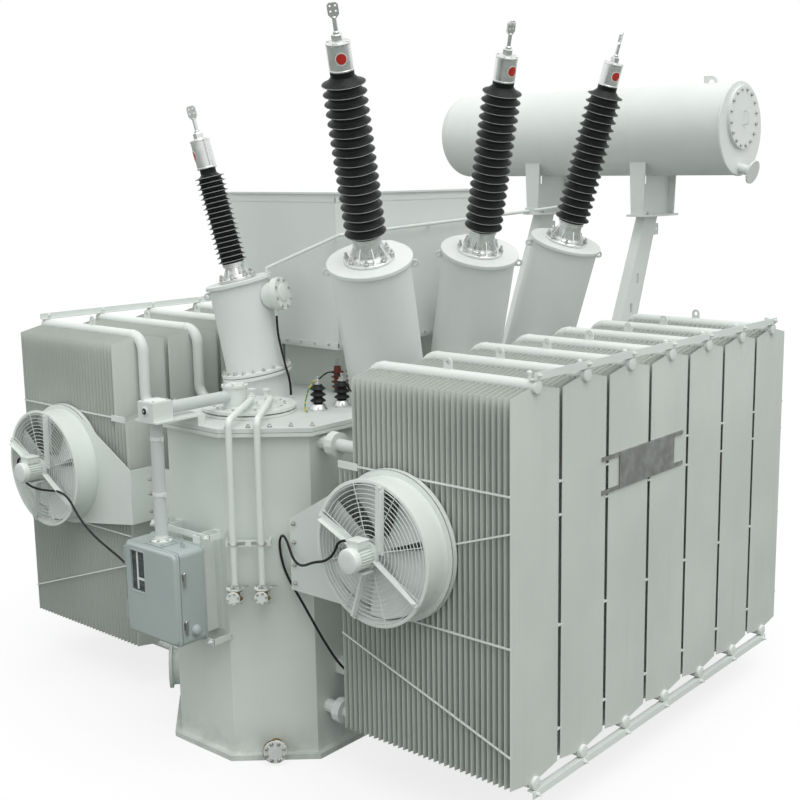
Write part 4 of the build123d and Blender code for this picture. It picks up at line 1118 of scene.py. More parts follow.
@dataclass
class BushingSet:
    """The three high-voltage bushings and the smaller neutral one."""

    bushings: list[Bushing] = field(default_factory=lambda: [
        Bushing("front", (0.7, -1.059, 3.627), (0.17, -0.36), (0.7, -0.72), dot_turn=-41.0),
        Bushing("middle", (0.7, 0.269, 3.618), (0.333, -0.195), (0.88, -0.15), dot_turn=-15.0),
        Bushing("rear", (0.7, 1.533, 3.634), (0.342, -0.043), (0.95, 0.3), dot_turn=-25.0,
                lug_turns=(228.0, 48.0)),
        Bushing("neutral", (-0.521, -1.283, 3.425), (-0.16, -0.165), (0.3, -0.95), 0.236, 0.26, 0.15, 0.147,
                0.076,
                0.086, 0.112, 18, 0.705, 0.04, 0.062, 0.078, 0.228, dot_turn=-120.0),
    ])
    neutral_lean: tuple[float, float] = (-0.115, -0.125)
    joint_down: float = 0.745 - 0.028
    joint_radius: float = 0.249

    def build(self) -> None:
        """Builds every bushing, each kind of piece in its own finish."""
        stacks, rims, feet, studs, caps = (Shape() for _ in range(5))
        dots, rings, trim = (Shape() for _ in range(3))
        for one in self.bushings:
            one.add_sheds(stacks, rims)
            one.add_foot(feet)
            one.add_studs(studs)
            one.add_cap(caps)
            one.add_dot(dots, rings)
            one.add_turret_trim(trim)
        EarthBushings().add_feet(feet)
        self.add_turret_joint(trim, studs)
        finish_piece(stacks.object("shed_stacks", 28.0), Look.SHEDS, replaces=["insulators"])
        # The pale lip beads are a painted highlight on the sheds.
        finish_piece(rims.object("shed_lip_highlights", 80.0), Look.RIMS)
        finish_piece(feet.object("cast_feet"), Look.ALUMINIUM, replaces=["bushing_feet"])
        finish_piece(studs.object("foot_studs"), Look.ZINC)
        finish_piece(caps.object("spun_caps"), Look.ALUMINIUM, replaces=["bushing_caps"])
        finish_piece(trim.object("turret_trim"), Look.UPPER)
        finish_piece(dots.object("cap_markers"), Look.MARKER)
        finish_piece(rings.object("marker_rings"), Look.FITTINGS)

    def add_turret_joint(self, trim: Shape, studs: Shape) -> None:
        """Adds the neutral turret's lower flange: a second rim under the joint, and its bolts.

        Args:
            trim: Takes the trim.
            studs: Takes the bolts.
        """
        neutral = self.bushings[-1]
        axis = Seat(neutral.top, (*self.neutral_lean, 1.0))
        joint = axis.moved(z=-self.joint_down)
        r = neutral.flange_radius
        trim.turned(joint, [(r - 0.03, -0.06), (r + 0.014, -0.06), (r + 0.018, -0.056), (r + 0.018, -0.032),
                            (r - 0.03, -0.03)], 64, loop=True)
        trim.turned(joint, [(r - 0.03, -0.026), (r + 0.014, -0.026), (r + 0.018, -0.022), (r + 0.018, -0.002),
                            (r + 0.014, 0.002), (r - 0.03, 0.002)], 64, loop=True)
        studs.stamp(ring_seats(joint, self.joint_radius + 0.012, 20, 0.002, 8.0), bolt(0.016, stud=0.008))


@dataclass
class EarthBushings:
    """The two small bushings on the cover with their caps."""

    spots: tuple[tuple[float, float], ...] = ((0.39, -1.325), (0.43, -1.11))
    cover: float = 2.492
    base_radius: float = 0.072
    base_height: float = 0.05
    core: float = 0.034
    tip: float = 0.06
    height: float = 0.15
    shed_feet: tuple[float, ...] = (0.008, 0.054, 0.1)

    def add_feet(self, feet: Shape) -> None:
        """Adds the cast feet and the nuts on them.

        Args:
            feet: Takes the cast feet.
        """
        r = self.base_radius
        for x, y in self.spots:
            seat = Seat((x, y, self.cover))
            feet.turned(seat, [
                (r, 0.0005), (r, 0.012), (r - 0.006, 0.016), (self.core + 0.016, self.base_height - 0.006),
                (self.core + 0.01, self.base_height)], 28)
            feet.stamp(ring_seats(seat, r - 0.013, 4, 0.014, 45.0), bolt(0.012, stud=0.01))

    def build(self) -> None:
        """Makes the sheds and the clamped rods."""
        core, tip = self.core, self.tip
        sheds = Shape()
        rods = Shape()
        for x, y in self.spots:
            seat = Seat((x, y, self.cover + self.base_height))
            profile = [(core, 0.0)]
            for start in self.shed_feet:
                profile += [
                    (core + 0.002, start), (tip - 0.003, start + 0.01), (tip, start + 0.014),
                    (tip - 0.003, start + 0.019), (core + 0.004, start + 0.034), (core, start + 0.04)]
            profile += [(core, self.height - 0.004), (core - 0.01, self.height)]
            sheds.turned(seat, profile, 32)
            top = seat.moved(z=self.height)
            rods.turned(top, [(0.03, -0.001), (0.03, 0.01), (0.024, 0.014), (0.015, 0.018)], 24)
            rods.turned(top, [(0.022, 0.016), (0.022, 0.03), (0.018, 0.034)], 6)
            rods.turned(top, [(0.01, 0.03), (0.01, 0.056), (0.007, 0.059)], 12)
        finish_piece(sheds.object("earth_sheds", 60.0), Look.SHEDS, replaces=["earth_bushings"])
        finish_piece(rods.object("earth_rods"), Look.ZINC)


# Fans


@dataclass
class Fan:
    """One fan: rolled duct, wire guard, motor on four arms, and its rotor."""

    bank: Bank
    centre_x: float
    centre_z: float = 1.852
    duct_radius: float = 0.462
    wall: float = 0.008
    back_flange: float = 0.51
    front_flange: float = 0.488
    stud_circle: float = 0.489
    plate_y: float = -1.996
    guard_rings: int = 13
    guard_wire: float = 0.003
    guard_inner: float = 0.1
    spokes: int = 8
    motor_radius: float = 0.078
    guard_depth: float = 0.006
    hub_front: float = -2.15
    hub_radius: float = 0.092
    hub_length: float = 0.11
    shaft_radius: float = 0.014
    blades: int = 6
    blade_spread: float = 50.0
    arm_turns: tuple[float, ...] = (88.0, 157.0, 251.0, 326.0)
    wide_arm: int = 0
    wide_shift: float = 0.088
    plate_bolts: tuple[float, ...] = (0.95, 0.69, 0.37, 0.115)

    def seat(self, y: float) -> Seat:
        """A seat on the fan's axis, facing out of the bank's near face."""
        return Seat((self.centre_x, y, self.centre_z), (0, -1, 0), (1, 0, 0))

    def build_duct(self) -> None:
        """The duct: one rolled section carried round, with the bolts of its rear flange."""
        back_r, front_r = self.back_flange, self.front_flange
        low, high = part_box(f"fan_duct_{self.bank.word}")
        back = self.seat(high.y)
        depth = high.y - low.y - self.guard_depth
        r, w = self.duct_radius, self.wall
        duct = Shape()
        section = [
            (r, 0.0), (back_r - 0.001, 0.0), (back_r, 0.001), (back_r, 0.034), (back_r - 0.004, 0.034),
            (back_r - 0.005, 0.01), (r + w + 0.004, 0.01), (r + w, 0.014), (r + w, depth - 0.012),
            (front_r - 0.003, depth - 0.012), (front_r, depth - 0.009), (front_r, depth - 0.002),
            (front_r - 0.003, depth), (r + 0.003, depth), (r, depth - 0.004)]
        duct.turned(back, section, 96, loop=True)
        finish_piece(duct.object(f"duct_{self.bank.word}", 40.0), Look.FITTINGS)
        studs = Shape()
        rim = [Seat(place.origin, place.axis) for place in ring_seats(back, self.stud_circle, 10, 0.01, 9.0)]
        studs.stamp(rim, bolt(0.014, stud=0.006))
        self.add_plate_bolts(studs)
        finish_piece(studs.object(f"duct_bolts_{self.bank.word}"), Look.ZINC)
        self.build_guard(self.seat(low.y + self.guard_depth / 2))

    def add_plate_bolts(self, studs: Shape) -> None:
        """Adds the bolts down the edge of the fan's plate, at shares of that edge's height.

        Args:
            studs: Takes the bolts.
        """
        low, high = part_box(f"fan_plate_{self.bank.word}")
        edge = low.x if self.bank is Bank.RIGHT else high.x
        inward = 0.046 if self.bank is Bank.RIGHT else -0.046
        bottom, rise = (1.343, 0.519) if self.bank is Bank.RIGHT else (1.48, 0.445)
        for share in self.plate_bolts:
            studs.stamp([Seat((edge + inward, self.plate_y, bottom + rise * share), (0, -1, 0))],
                        bolt(0.016, stud=0.008))

    def build_guard(self, seat: Seat) -> None:
        """The guard: wire rings at an even pitch, with radial wires across them.

        Args:
            seat: The guard's middle, facing out.
        """
        guard = Shape()
        wire = self.guard_wire
        for radius in np.linspace(self.guard_inner, self.duct_radius - 0.008, self.guard_rings):
            section = [(radius + wire * cos(a), wire * sin(a)) for a in np.arange(6) * TURN / 6]
            guard.turned(seat, section, 72, loop=True)
        for angle in (np.arange(self.spokes) + 0.36) * TURN / self.spokes:
            out = np.array([cos(angle), sin(angle), 0.0])
            path = seat.place(np.array([out * (self.guard_inner - 0.01), out * (self.duct_radius + 0.004)]))
            guard.tube(path - np.array([0, 1.6 * wire, 0]), wire, 6)
        node = f"fan_duct_{self.bank.word}"
        finish_piece(guard.object(f"guard_{self.bank.word}", 60.0), Look.FITTINGS, replaces=[node])

    def build_motor(self) -> None:
        """The motor: ribbed barrel, round cowl, terminal box, gland, and folded arms to the rim."""
        node = f"fan_motor_{self.bank.word}"
        low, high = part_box(node)
        seat = self.seat(high.y)
        depth = high.y - low.y
        r = self.motor_radius
        motor = Shape()
        angle = np.arange(192) * TURN / 192
        ribs = r - 0.012 * (0.5 - 0.5 * np.sign(np.cos(24 * angle + 0.01)))
        outline = np.column_stack([ribs * np.cos(angle), ribs * np.sin(angle)])
        motor.prism(seat, outline, depth - 0.086, 0.034)
        motor.turned(seat, [
            (0.02, 0.008), (0.088, 0.008), (0.09, 0.012), (0.088, 0.032), (r - 0.012, 0.038)], 48)
        motor.turned(seat, [
            (r - 0.014, depth - 0.062), (r + 0.004, depth - 0.058), (r + 0.006, depth - 0.052),
            (r + 0.006, depth - 0.016), (r, depth - 0.006), (r - 0.012, depth - 0.001), (0.034, depth)], 48)
        half = depth * 0.5
        motor.prism(seat.moved(z=half - 0.05), rounded(0.1, 0.06, 0.01) + (0, 0.096), 0.1)
        motor.prism(seat.moved(z=half - 0.053), rounded(0.108, 0.012, 0.004) + (0, 0.121), 0.106)
        gland = Seat((self.centre_x - 0.049, high.y - half, self.centre_z + 0.098), (-1, 0, 0))
        motor.turned(gland, [(0.017, 0), (0.017, 0.012), (0.0145, 0.015), (0.0145, 0.028), (0.0105, 0.036)],
                     12)
        for number, turn in enumerate(self.arm_turns):
            wide = 0.036 if number == self.wide_arm else 0.022
            reach = self.front_flange - 0.004
            out = np.array([cos(radians(turn)), sin(radians(turn))])
            side = np.array([-out[1], out[0]])
            shift = side * (-self.wide_shift if number == self.wide_arm else 0.0)
            reach -= 0.012 if number == self.wide_arm else 0.0
            corners = ((0.02, -wide), (reach, -wide), (reach, wide), (0.02, wide))
            flat = [shift + out * run + side * off for run, off in corners]
            motor.prism(seat, flat, 0.005, 0.003)
            edge = -wide if number == self.wide_arm else wide - 0.004
            fold = [(0.06, edge, 0.008), (reach - 0.016, edge, 0.008), (reach - 0.03, edge, 0.04),
                    (0.1, edge, 0.052), (0.06, edge, 0.052)]
            points = np.array([[*(shift + out * u + side * v), w] for u, v, w in fold])
            thick = np.array([*(side * 0.004), 0.0])
            motor.surface(seat.place(np.array([points + thick, points])), wrap_v=True, ends=True)
            motor.stamp([seat.moved(*(shift + out * (reach - 0.014)), 0.008)], bolt(0.01))
        foot = [(-0.06, -0.095), (0.06, -0.095), (0.06, -0.087), (-0.06, -0.087)]
        motor.prism(seat, foot, depth * 0.45, 0.03)
        finish_piece(motor.object(f"motor_{self.bank.word}"), Look.FITTINGS, replaces=[node])

    def blade(self, samples: int = 13) -> Array:
        """One blade's two skins as a closed section for each radius.

        At radius r the chord runs over an angle that widens a little outwards, the pitch falls
        from 44 to 22 degrees, and the camber is a parabola across the chord.

        Args:
            samples: Number of radii.

        Returns:
            Grid of points, a closed section in each row.
        """
        radius = np.linspace(self.hub_radius - 0.012, self.duct_radius - 0.013, samples)[:, None]
        share = (radius - radius[0]) / (radius[-1] - radius[0])
        chord = np.linspace(-1, 1, 11)[None, :]
        spread = radians(self.blade_spread / 2) * (0.92 + 0.1 * share)
        angle = spread * chord + radians(4.0) * share
        pitch = np.radians(44.0 - 22.0 * share)
        lift = -np.tan(pitch) * radius * angle * 0.55 + 0.014 * (1 - chord ** 2) * share
        lift = np.clip(lift, -0.052, 0.052)
        thin = 0.0022 * (1 - 0.8 * np.abs(chord) ** 3)
        upper = np.stack([radius * np.cos(angle), radius * np.sin(angle), lift + thin], -1)
        lower = np.stack([radius * np.cos(angle), radius * np.sin(angle), lift - thin], -1)
        return np.concatenate([lower, upper[:, ::-1]], 1)

    def build_rotor(self) -> None:
        """The rotor: spun hub with a ring of blades, and the shaft into the motor."""
        shaft = self.shaft_radius
        node = f"fan_rotor_{self.bank.word}"
        low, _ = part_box(node)
        r, length = self.hub_radius, self.hub_length
        seat = self.seat(self.hub_front + length)
        reach = length + abs(self.hub_front - low.y)
        rotor = Shape()
        rotor.turned(seat, [
            (0.07, 0.0), (r - 0.004, 0.006), (r, 0.02), (r, 0.092), (r - 0.006, 0.104), (0.06, length),
            (shaft, length), (shaft, reach - 0.002), (shaft - 0.002, reach)], 40)
        section = self.blade()
        for number in range(self.blades):
            turn = number * TURN / self.blades + radians(-78.0)
            spin = np.array([[cos(turn), sin(turn), 0], [-sin(turn), cos(turn), 0],
                             [0, 0, 1.0]])
            grid = seat.place(section @ spin + np.array([0, 0, length / 2]))
            rotor.surface(grid, wrap_v=True, ends=True)
        finish_piece(rotor.object(f"rotor_blades_{self.bank.word}", 40.0), Look.BLADES,
                     f"rotor_{self.bank.word}", [node])

    def build(self) -> None:
        """Builds the fan."""
        self.build_duct()
        self.build_motor()
        self.build_rotor()


# Drive cabinet


@dataclass
class Cabinet:
    """The drive cabinet: pressed door round its window, latches, straps and the drive's flange."""

    width: float = 0.594
    bottom: float = 0.985
    top: float = 1.672
    front: float = -2.64
    back: float = -2.39
    door: float = 0.034
    corner: float = 0.042
    window: tuple[float, float, float, float] = (-0.14, 1.466, 0.152, 0.295)
    deck_y: float = -2.52
    latch_y: float = -2.576
    strap_heights: tuple[float, float] = (1.725, 0.955)
    strap_end: float = 0.33
    hinge: tuple[float, float, float] = (-0.309, -2.615, 0.009)
    knuckle: float = 0.11
    latch_heights: tuple[float, float] = (1.497, 1.146)

    @property
    def middle(self) -> float:
        """Height of the cabinet's middle."""
        return (self.bottom + self.top) / 2

    def build_door(self) -> None:
        """The door: a lip, a rounded edge, a flat face and a rolled frame round the window.

        Every level is a rounded rectangle drawn in by an inset. Those of the window are drawn
        about its own centre, and the last joins the first, so the shell is closed.
        """
        face = Seat((0, self.front + self.door, self.middle), (0, -1, 0), (1, 0, 0))
        height = self.top - self.bottom
        levels = [(0.0, 0.0), (0.0, 0.009), (0.003, 0.012), (0.009, 0.013), (0.012, 0.015)]
        for angle in np.linspace(0, pi / 2, 6):
            levels.append((0.013 + 0.017 * (1 - cos(angle)), 0.017 + 0.017 * sin(angle)))
        levels.append((0.034, self.door))
        grid = []
        for inset, out in levels:
            flat = rounded(self.width - 2 * inset, height - 2 * inset, self.corner)
            grid.append(np.column_stack([flat, np.full(len(flat), out)]))
        x, z, wide, tall = self.window
        for outset, out in ((0.018, 0.034), (0.014, 0.034), (0.011, 0.0365), (0.004, 0.0365), (0.0, 0.034),
                            (0.0, 0.0)):
            flat = rounded(wide + 2 * outset, tall + 2 * outset, 0.006 + outset) + (x, z - self.middle)
            grid.append(np.column_stack([flat, np.full(len(flat), out)]))
        shell = Shape()
        shell.surface(face.place(np.array(grid)), wrap_u=True, wrap_v=True)
        hinge_x, hinge_y, radius = self.hinge
        for up in (1, -1):
            z = self.middle + up * (height / 2 - self.knuckle * 1.25)
            foot = Seat((hinge_x, hinge_y, z - self.knuckle / 2))
            shell.turned(foot, [(0.0048, 0), (radius, 0), (radius, self.knuckle), (0.0048, self.knuckle)], 20,
                         loop=True)
            shell.block((hinge_x + radius * 0.9, hinge_y - 0.004, z - self.knuckle / 2),
                        (hinge_x + 0.014, hinge_y + 0.004, z + self.knuckle / 2))
        finish_piece(shell.object("door_shell", 40.0), Look.CABINET, "door", ["cabinet_door"])
        self.build_indicator()

    def build_indicator(self) -> None:
        """Pale bars on the glass, as the position dial shows through the window."""
        x, z, wide, tall = self.window
        y = self.front + self.door / 2 - 0.0035
        bars = Shape()
        bars.block((x - 0.022, y - 0.003, z - tall / 2 + 0.012), (x - 0.006, y, z + tall / 2 - 0.004))
        bars.block((x - 0.022, y - 0.0045, z - 0.065), (x + wide / 2 - 0.012, y - 0.001, z - 0.047))
        bars.block((x + wide / 2 - 0.014, y - 0.003, z - tall / 2 + 0.006),
                   (x + wide / 2 - 0.003, y, z + tall / 2 - 0.006))
        finish_piece(bars.object("window_bars"), Look.FITTINGS, "door")

    def build_trim(self) -> None:
        """Trim: latches on the side, a boss, the drive's flange with bolts, a lip, and eyes on top."""
        trim = Shape()
        side = self.width / 2
        for z in self.latch_heights:
            trim.block((side, -2.592, z - 0.03), (side + 0.004, -2.56, z + 0.03))
            trim.turned(Seat((side + 0.002, self.latch_y, z + 0.022), (1, 0, 0)),
                        [(0.013, 0), (0.013, 0.014), (0.009, 0.018)], 16)
            trim.prism(Seat((side + 0.012, self.latch_y, z - 0.045), (1, 0, 0)),
                       rounded(0.018, 0.1, 0.006) + (0, 0.02), 0.006)
        finish_piece(trim.object("door_latches"), Look.ZINC)
        shell = Shape()
        shell.turned(Seat((side - 0.002, -2.489, 1.085), (1, 0, 0)),
                     [(0.04, 0), (0.04, 0.01), (0.034, 0.018), (0.03, 0.034), (0.018, 0.042),
                      (0.006, 0.044)], 28)
        back = Seat((0, self.back - 0.001, self.middle), (0, -1, 0), (1, 0, 0))
        height = self.top - self.bottom
        lip = [rounded(self.width + out, height + out, self.corner) for out in (0.0, 0.016, 0.016, 0.0)]
        rise = (0.0, 0.0, 0.01, 0.012)
        grid = np.array([np.column_stack([flat, np.full(len(flat), up)]) for flat, up in zip(lip, rise)])
        shell.surface(back.place(grid), wrap_u=True, wrap_v=True)
        shell.prism(Seat((0, self.deck_y, self.top - 0.0005)), rounded(0.19, 0.17, 0.008), 0.01)
        spots = [Seat((x, self.deck_y + dy, self.top + 0.0095)) for x in (-0.075, 0.075) for dy in (-0.062,
                                                                                                    0.062)]
        shell.stamp(spots, bolt(0.014))
        shell.stamp([Seat((0.205, -2.5, self.top - 0.004))], lug(0.044, 0.03, 0.01, 0.008))
        finish_piece(shell.object("cabinet_trim", 40.0), Look.CABINET)

    def build_straps(self) -> None:
        """Flat straps across the frame's head and foot, turned back to the tank, with their bolts."""
        straps = Shape()
        end = self.strap_end
        for z in self.strap_heights:
            straps.block((-end, -2.366, z - 0.022), (end, -2.358, z + 0.022))
            for x in (-end, end - 0.008):
                straps.block((x, -2.362, z - 0.022), (x + 0.008, -2.2, z + 0.022))
            for x in (-0.3, 0.3):
                straps.stamp([Seat((x, -2.366, z), (0, -1, 0))], bolt(0.018, stud=0.01))
        finish_piece(straps.object("cabinet_straps"), Look.FITTINGS)

    def build(self) -> None:
        """Builds the cabinet's pieces."""
        self.build_door()
        self.build_trim()
        self.build_straps()


# Pipes on the near chamfer


@dataclass
class FilterPipes:
    """The two oil pipes from the tap changer's head down the chamfer, with clamp, taps and blanks."""

    corner: tuple[float, float] = (0.325, -2.246)
    run: tuple[float, float] = (0.495, 0.432)
    starts: tuple[tuple[float, float], ...] = ((0.15, -1.76), (0.225, -1.64))
    steps: tuple[float, float] = (0.084, 0.281)
    stand_off: float = 0.044
    radius: float = 0.024
    head: float = 2.545
    over: float = 2.622
    tap_z: float = 1.3
    clamp_z: float = 1.667
    strap: tuple[float, float] = (0.026, 0.345)
    strap_half: float = 0.0225
    tags: tuple[float, float] = (0.14, 0.235)

    def place(self, along: float, off: float, z: float) -> Array:
        """A point on the chamfer: its near corner, plus a run along it, plus a distance out of it."""
        way = unit(self.run)
        out = np.array([way[1], -way[0]])
        return np.array([*(np.array(self.corner) + way * along + out * off), z])

    def add_pipe(self, pipes: Shape, start: tuple[float, float], step: float) -> None:
        """Adds one pipe: out of its fitting on the head, over the rim and straight down to its tap.

        Args:
            pipes: Takes the pipes.
            start: Where it leaves the head, in plan.
            step: Its place along the chamfer.
        """
        x, y = start
        foot = self.place(step, self.stand_off, 0.0)
        route = [(x, y, self.head + 0.02), (x, y, self.over), (foot[0], foot[1], 2.56),
                 (foot[0], foot[1], self.tap_z + 0.05)]
        pipes.tube(bend(route, 0.048, 8), self.radius, 20)
        fitting = Seat((x, y, self.head - 0.001))
        pipes.turned(fitting, [(0.06, 0), (0.06, 0.014), (0.04, 0.018), (0.034, 0.04), (0.038, 0.044),
                               (0.038, 0.062), (0.03, 0.066)], 28)
        pipes.stamp(ring_seats(fitting, 0.049, 6, 0.014), bolt(0.01, stud=0.006))
        flange = Seat(self.place(step, self.stand_off, self.tap_z + 0.034))
        pipes.turned(flange, [
            (0.06, 0), (0.062, 0.002), (0.062, 0.012), (0.06, 0.014), (0.032, 0.015), (0.028, 0.024)], 32)

    def build(self) -> None:
        """Builds pipes, strap with tags, U-bolts, and the brass taps with their blanks."""
        pipes = Shape()
        for start, step in zip(self.starts, self.steps):
            self.add_pipe(pipes, start, step)
        way = unit((*self.run, 0.0))
        out = np.array([way[1], -way[0], 0.0])
        face = Seat(self.place(0.0, 0.013, self.clamp_z), out, way)
        half, (near, far) = self.strap_half, self.strap
        pipes.prism(face, [(near, -half), (far, -half), (far, half), (near, half)], 0.008)
        for step in (near, far - 0.008):
            pipes.prism(face, [(step, -half), (step + 0.008, -half), (step + 0.008, half), (step, half)],
                        -0.063, 0.0)
        finish_piece(pipes.object("oil_pipes", 40.0), Look.FITTINGS, replaces=["filter_pipes"])
        hardware = Shape()
        angle = np.linspace(0, pi, 13)
        for step in self.steps:
            centre = self.place(step, self.stand_off, self.clamp_z)
            reach = self.radius + 0.006
            loop = centre + np.cos(angle)[:, None] * way * reach + np.sin(angle)[:, None] * out * reach
            ends = [loop[0] - out * 0.03, *loop, loop[-1] - out * 0.03]
            hardware.tube(np.array(ends), 0.004, 8)
            for side in (-1, 1):
                hardware.stamp([Seat(self.place(step + side * reach, 0.021, self.clamp_z), out)],
                               bolt(0.009, stud=0.004))
        for step in self.tags:
            tag = Seat(self.place(step, 0.0215, self.clamp_z), out, way)
            hardware.prism(tag, rounded(0.052, 0.024, 0.003), 0.0016)
        finish_piece(hardware.object("pipe_clamps"), Look.ZINC)
        self.build_taps(out)

    def build_taps(self, out: Array) -> None:
        """The brass taps: turned bodies between two round flanges, a side branch and its blank.

        Args:
            out: Direction out of the chamfer.
        """
        taps, blanks, bolts = Shape(), Shape(), Shape()
        for step in self.steps:
            foot = self.place(step, self.stand_off, self.tap_z)
            seat = Seat(foot)
            blanks.turned(seat, [
                (0.052, -0.056), (0.054, -0.054), (0.054, -0.042), (0.05, -0.04), (0.02, -0.039)], 28)
            taps.turned(seat, [
                (0.052, -0.041), (0.054, -0.039), (0.054, -0.031), (0.05, -0.029), (0.026, -0.028),
                (0.03, -0.016), (0.036, 0.0), (0.03, 0.016), (0.026, 0.024), (0.054, 0.025), (0.054, 0.033),
                (0.02, 0.034)], 28)
            branch = Seat(foot, out)
            taps.turned(branch, [(0.026, 0.0), (0.026, 0.078), (0.032, 0.082), (0.046, 0.084), (0.048, 0.087),
                                 (0.048, 0.092), (0.02, 0.0935)], 28)
            blanks.turned(branch, [
                (0.046, 0.093), (0.048, 0.095), (0.048, 0.104), (0.046, 0.106), (0.022, 0.107)], 28)
            bolts.stamp(ring_seats(branch, 0.037, 6, 0.106, 12.0), bolt(0.009))
            bolts.stamp(ring_seats(seat, 0.044, 4, 0.048, 20.0), bolt(0.012, stud=0.004))
            under = ring_seats(seat, 0.044, 4, -0.056, 20.0)
            bolts.stamp([Seat(place.origin, (0, 0, -1)) for place in under], bolt(0.012))
            stem = Seat(foot + out * 0.048)
            bolts.turned(stem, [(0.012, 0.018), (0.012, 0.032), (0.007, 0.036), (0.007, 0.0698)], 16)
        finish_piece(taps.object("oil_taps"), Look.BRASS, replaces=["filter_valves"])
        finish_piece(blanks.object("tap_blanks"), Look.FITTINGS)
        finish_piece(bolts.object("tap_bolts"), Look.ZINC)


# Leads


@dataclass
class Lead:
    """A black lead: one smooth curve through its route's own points."""

    node: str
    route: tuple[Triple, ...]
    length: float
    diameter: float = 0.018

    def build(self) -> None:
        """Makes the curve, in place of the node, and says what cord it is."""
        data = bpy.data.curves.new(self.node, "CURVE")
        data.dimensions = "3D"
        data.bevel_depth = self.diameter / 2
        data.bevel_resolution = 3
        data.resolution_u = 10
        data.use_fill_caps = True
        spline = data.splines.new("NURBS")
        spline.points.add(len(self.route) - 1)
        for point, place in zip(spline.points, self.route):
            point.co = (*place, 1.0)
        spline.order_u = 3
        spline.use_endpoint_u = True
        made = bpy.data.objects.new(f"{self.node}_lead", data)
        bpy.context.scene.collection.objects.link(made)
        finish_piece(made, Look.CABLE, replaces=[self.node])


@dataclass
class Leads:
    """The leads of both fans and of the neutral turret's terminal box."""

    leads: list[Lead] = field(default_factory=lambda: [
        Lead("fan_cable_right", (
            (1.643, -2.317, 1.95), (1.568, -2.317, 1.95), (1.49, -2.29, 1.825), (1.37, -2.255, 1.745),
            (1.235, -2.232, 1.705), (1.11, -2.18, 1.645), (1.000, -2.125, 1.605), (0.915, -2.078, 1.59),
            (0.84, -2.045, 1.6), (0.78, -2.018, 1.645), (0.728, -1.998, 1.702), (0.67, -1.98, 1.728),
            (0.625, -1.97, 1.69), (0.612, -1.962, 1.61), (0.622, -1.953, 1.515), (0.65, -1.943, 1.425),
            (0.695, -1.93, 1.345), (0.752, -1.916, 1.262), (0.83, -1.892, 1.13), (0.925, -1.862, 0.97),
            (1.02, -1.825, 0.82), (1.08, -1.765, 0.72), (1.07, -1.67, 0.66), (0.985, -1.53, 0.64),
            (0.885, -1.53, 0.64)), 2.722),
        Lead("fan_cable_left", (
            (-2.08, -2.317, 1.95), (-2.15, -2.317, 1.95), (-2.2, -2.31, 1.868), (-2.198, -2.29, 1.77),
            (-2.11, -2.27, 1.702), (-1.985, -2.252, 1.683), (-1.85, -2.243, 1.695), (-1.705, -2.24, 1.712),
            (-1.57, -2.245, 1.675), (-1.455, -2.258, 1.575), (-1.31, -2.28, 1.5), (-1.13, -2.308, 1.444),
            (-0.93, -2.34, 1.408), (-0.74, -2.378, 1.385), (-0.57, -2.412, 1.352), (-0.44, -2.445, 1.345),
            (-0.332, -2.445, 1.345)), 2.234),
        Lead("ct_cable", (
            (-0.229, -1.15, 3.15), (-0.229, -1.15, 3.03), (-0.19, -1.15, 2.89),
            (-0.145, -1.15, 2.75), (-0.095, -1.15, 2.63), (-0.095, -1.15, 2.527)), 0.643),
    ])

    def build(self) -> None:
        """Makes every lead."""
        for lead in self.leads:
            lead.build()


# Tank, conservator and fittings


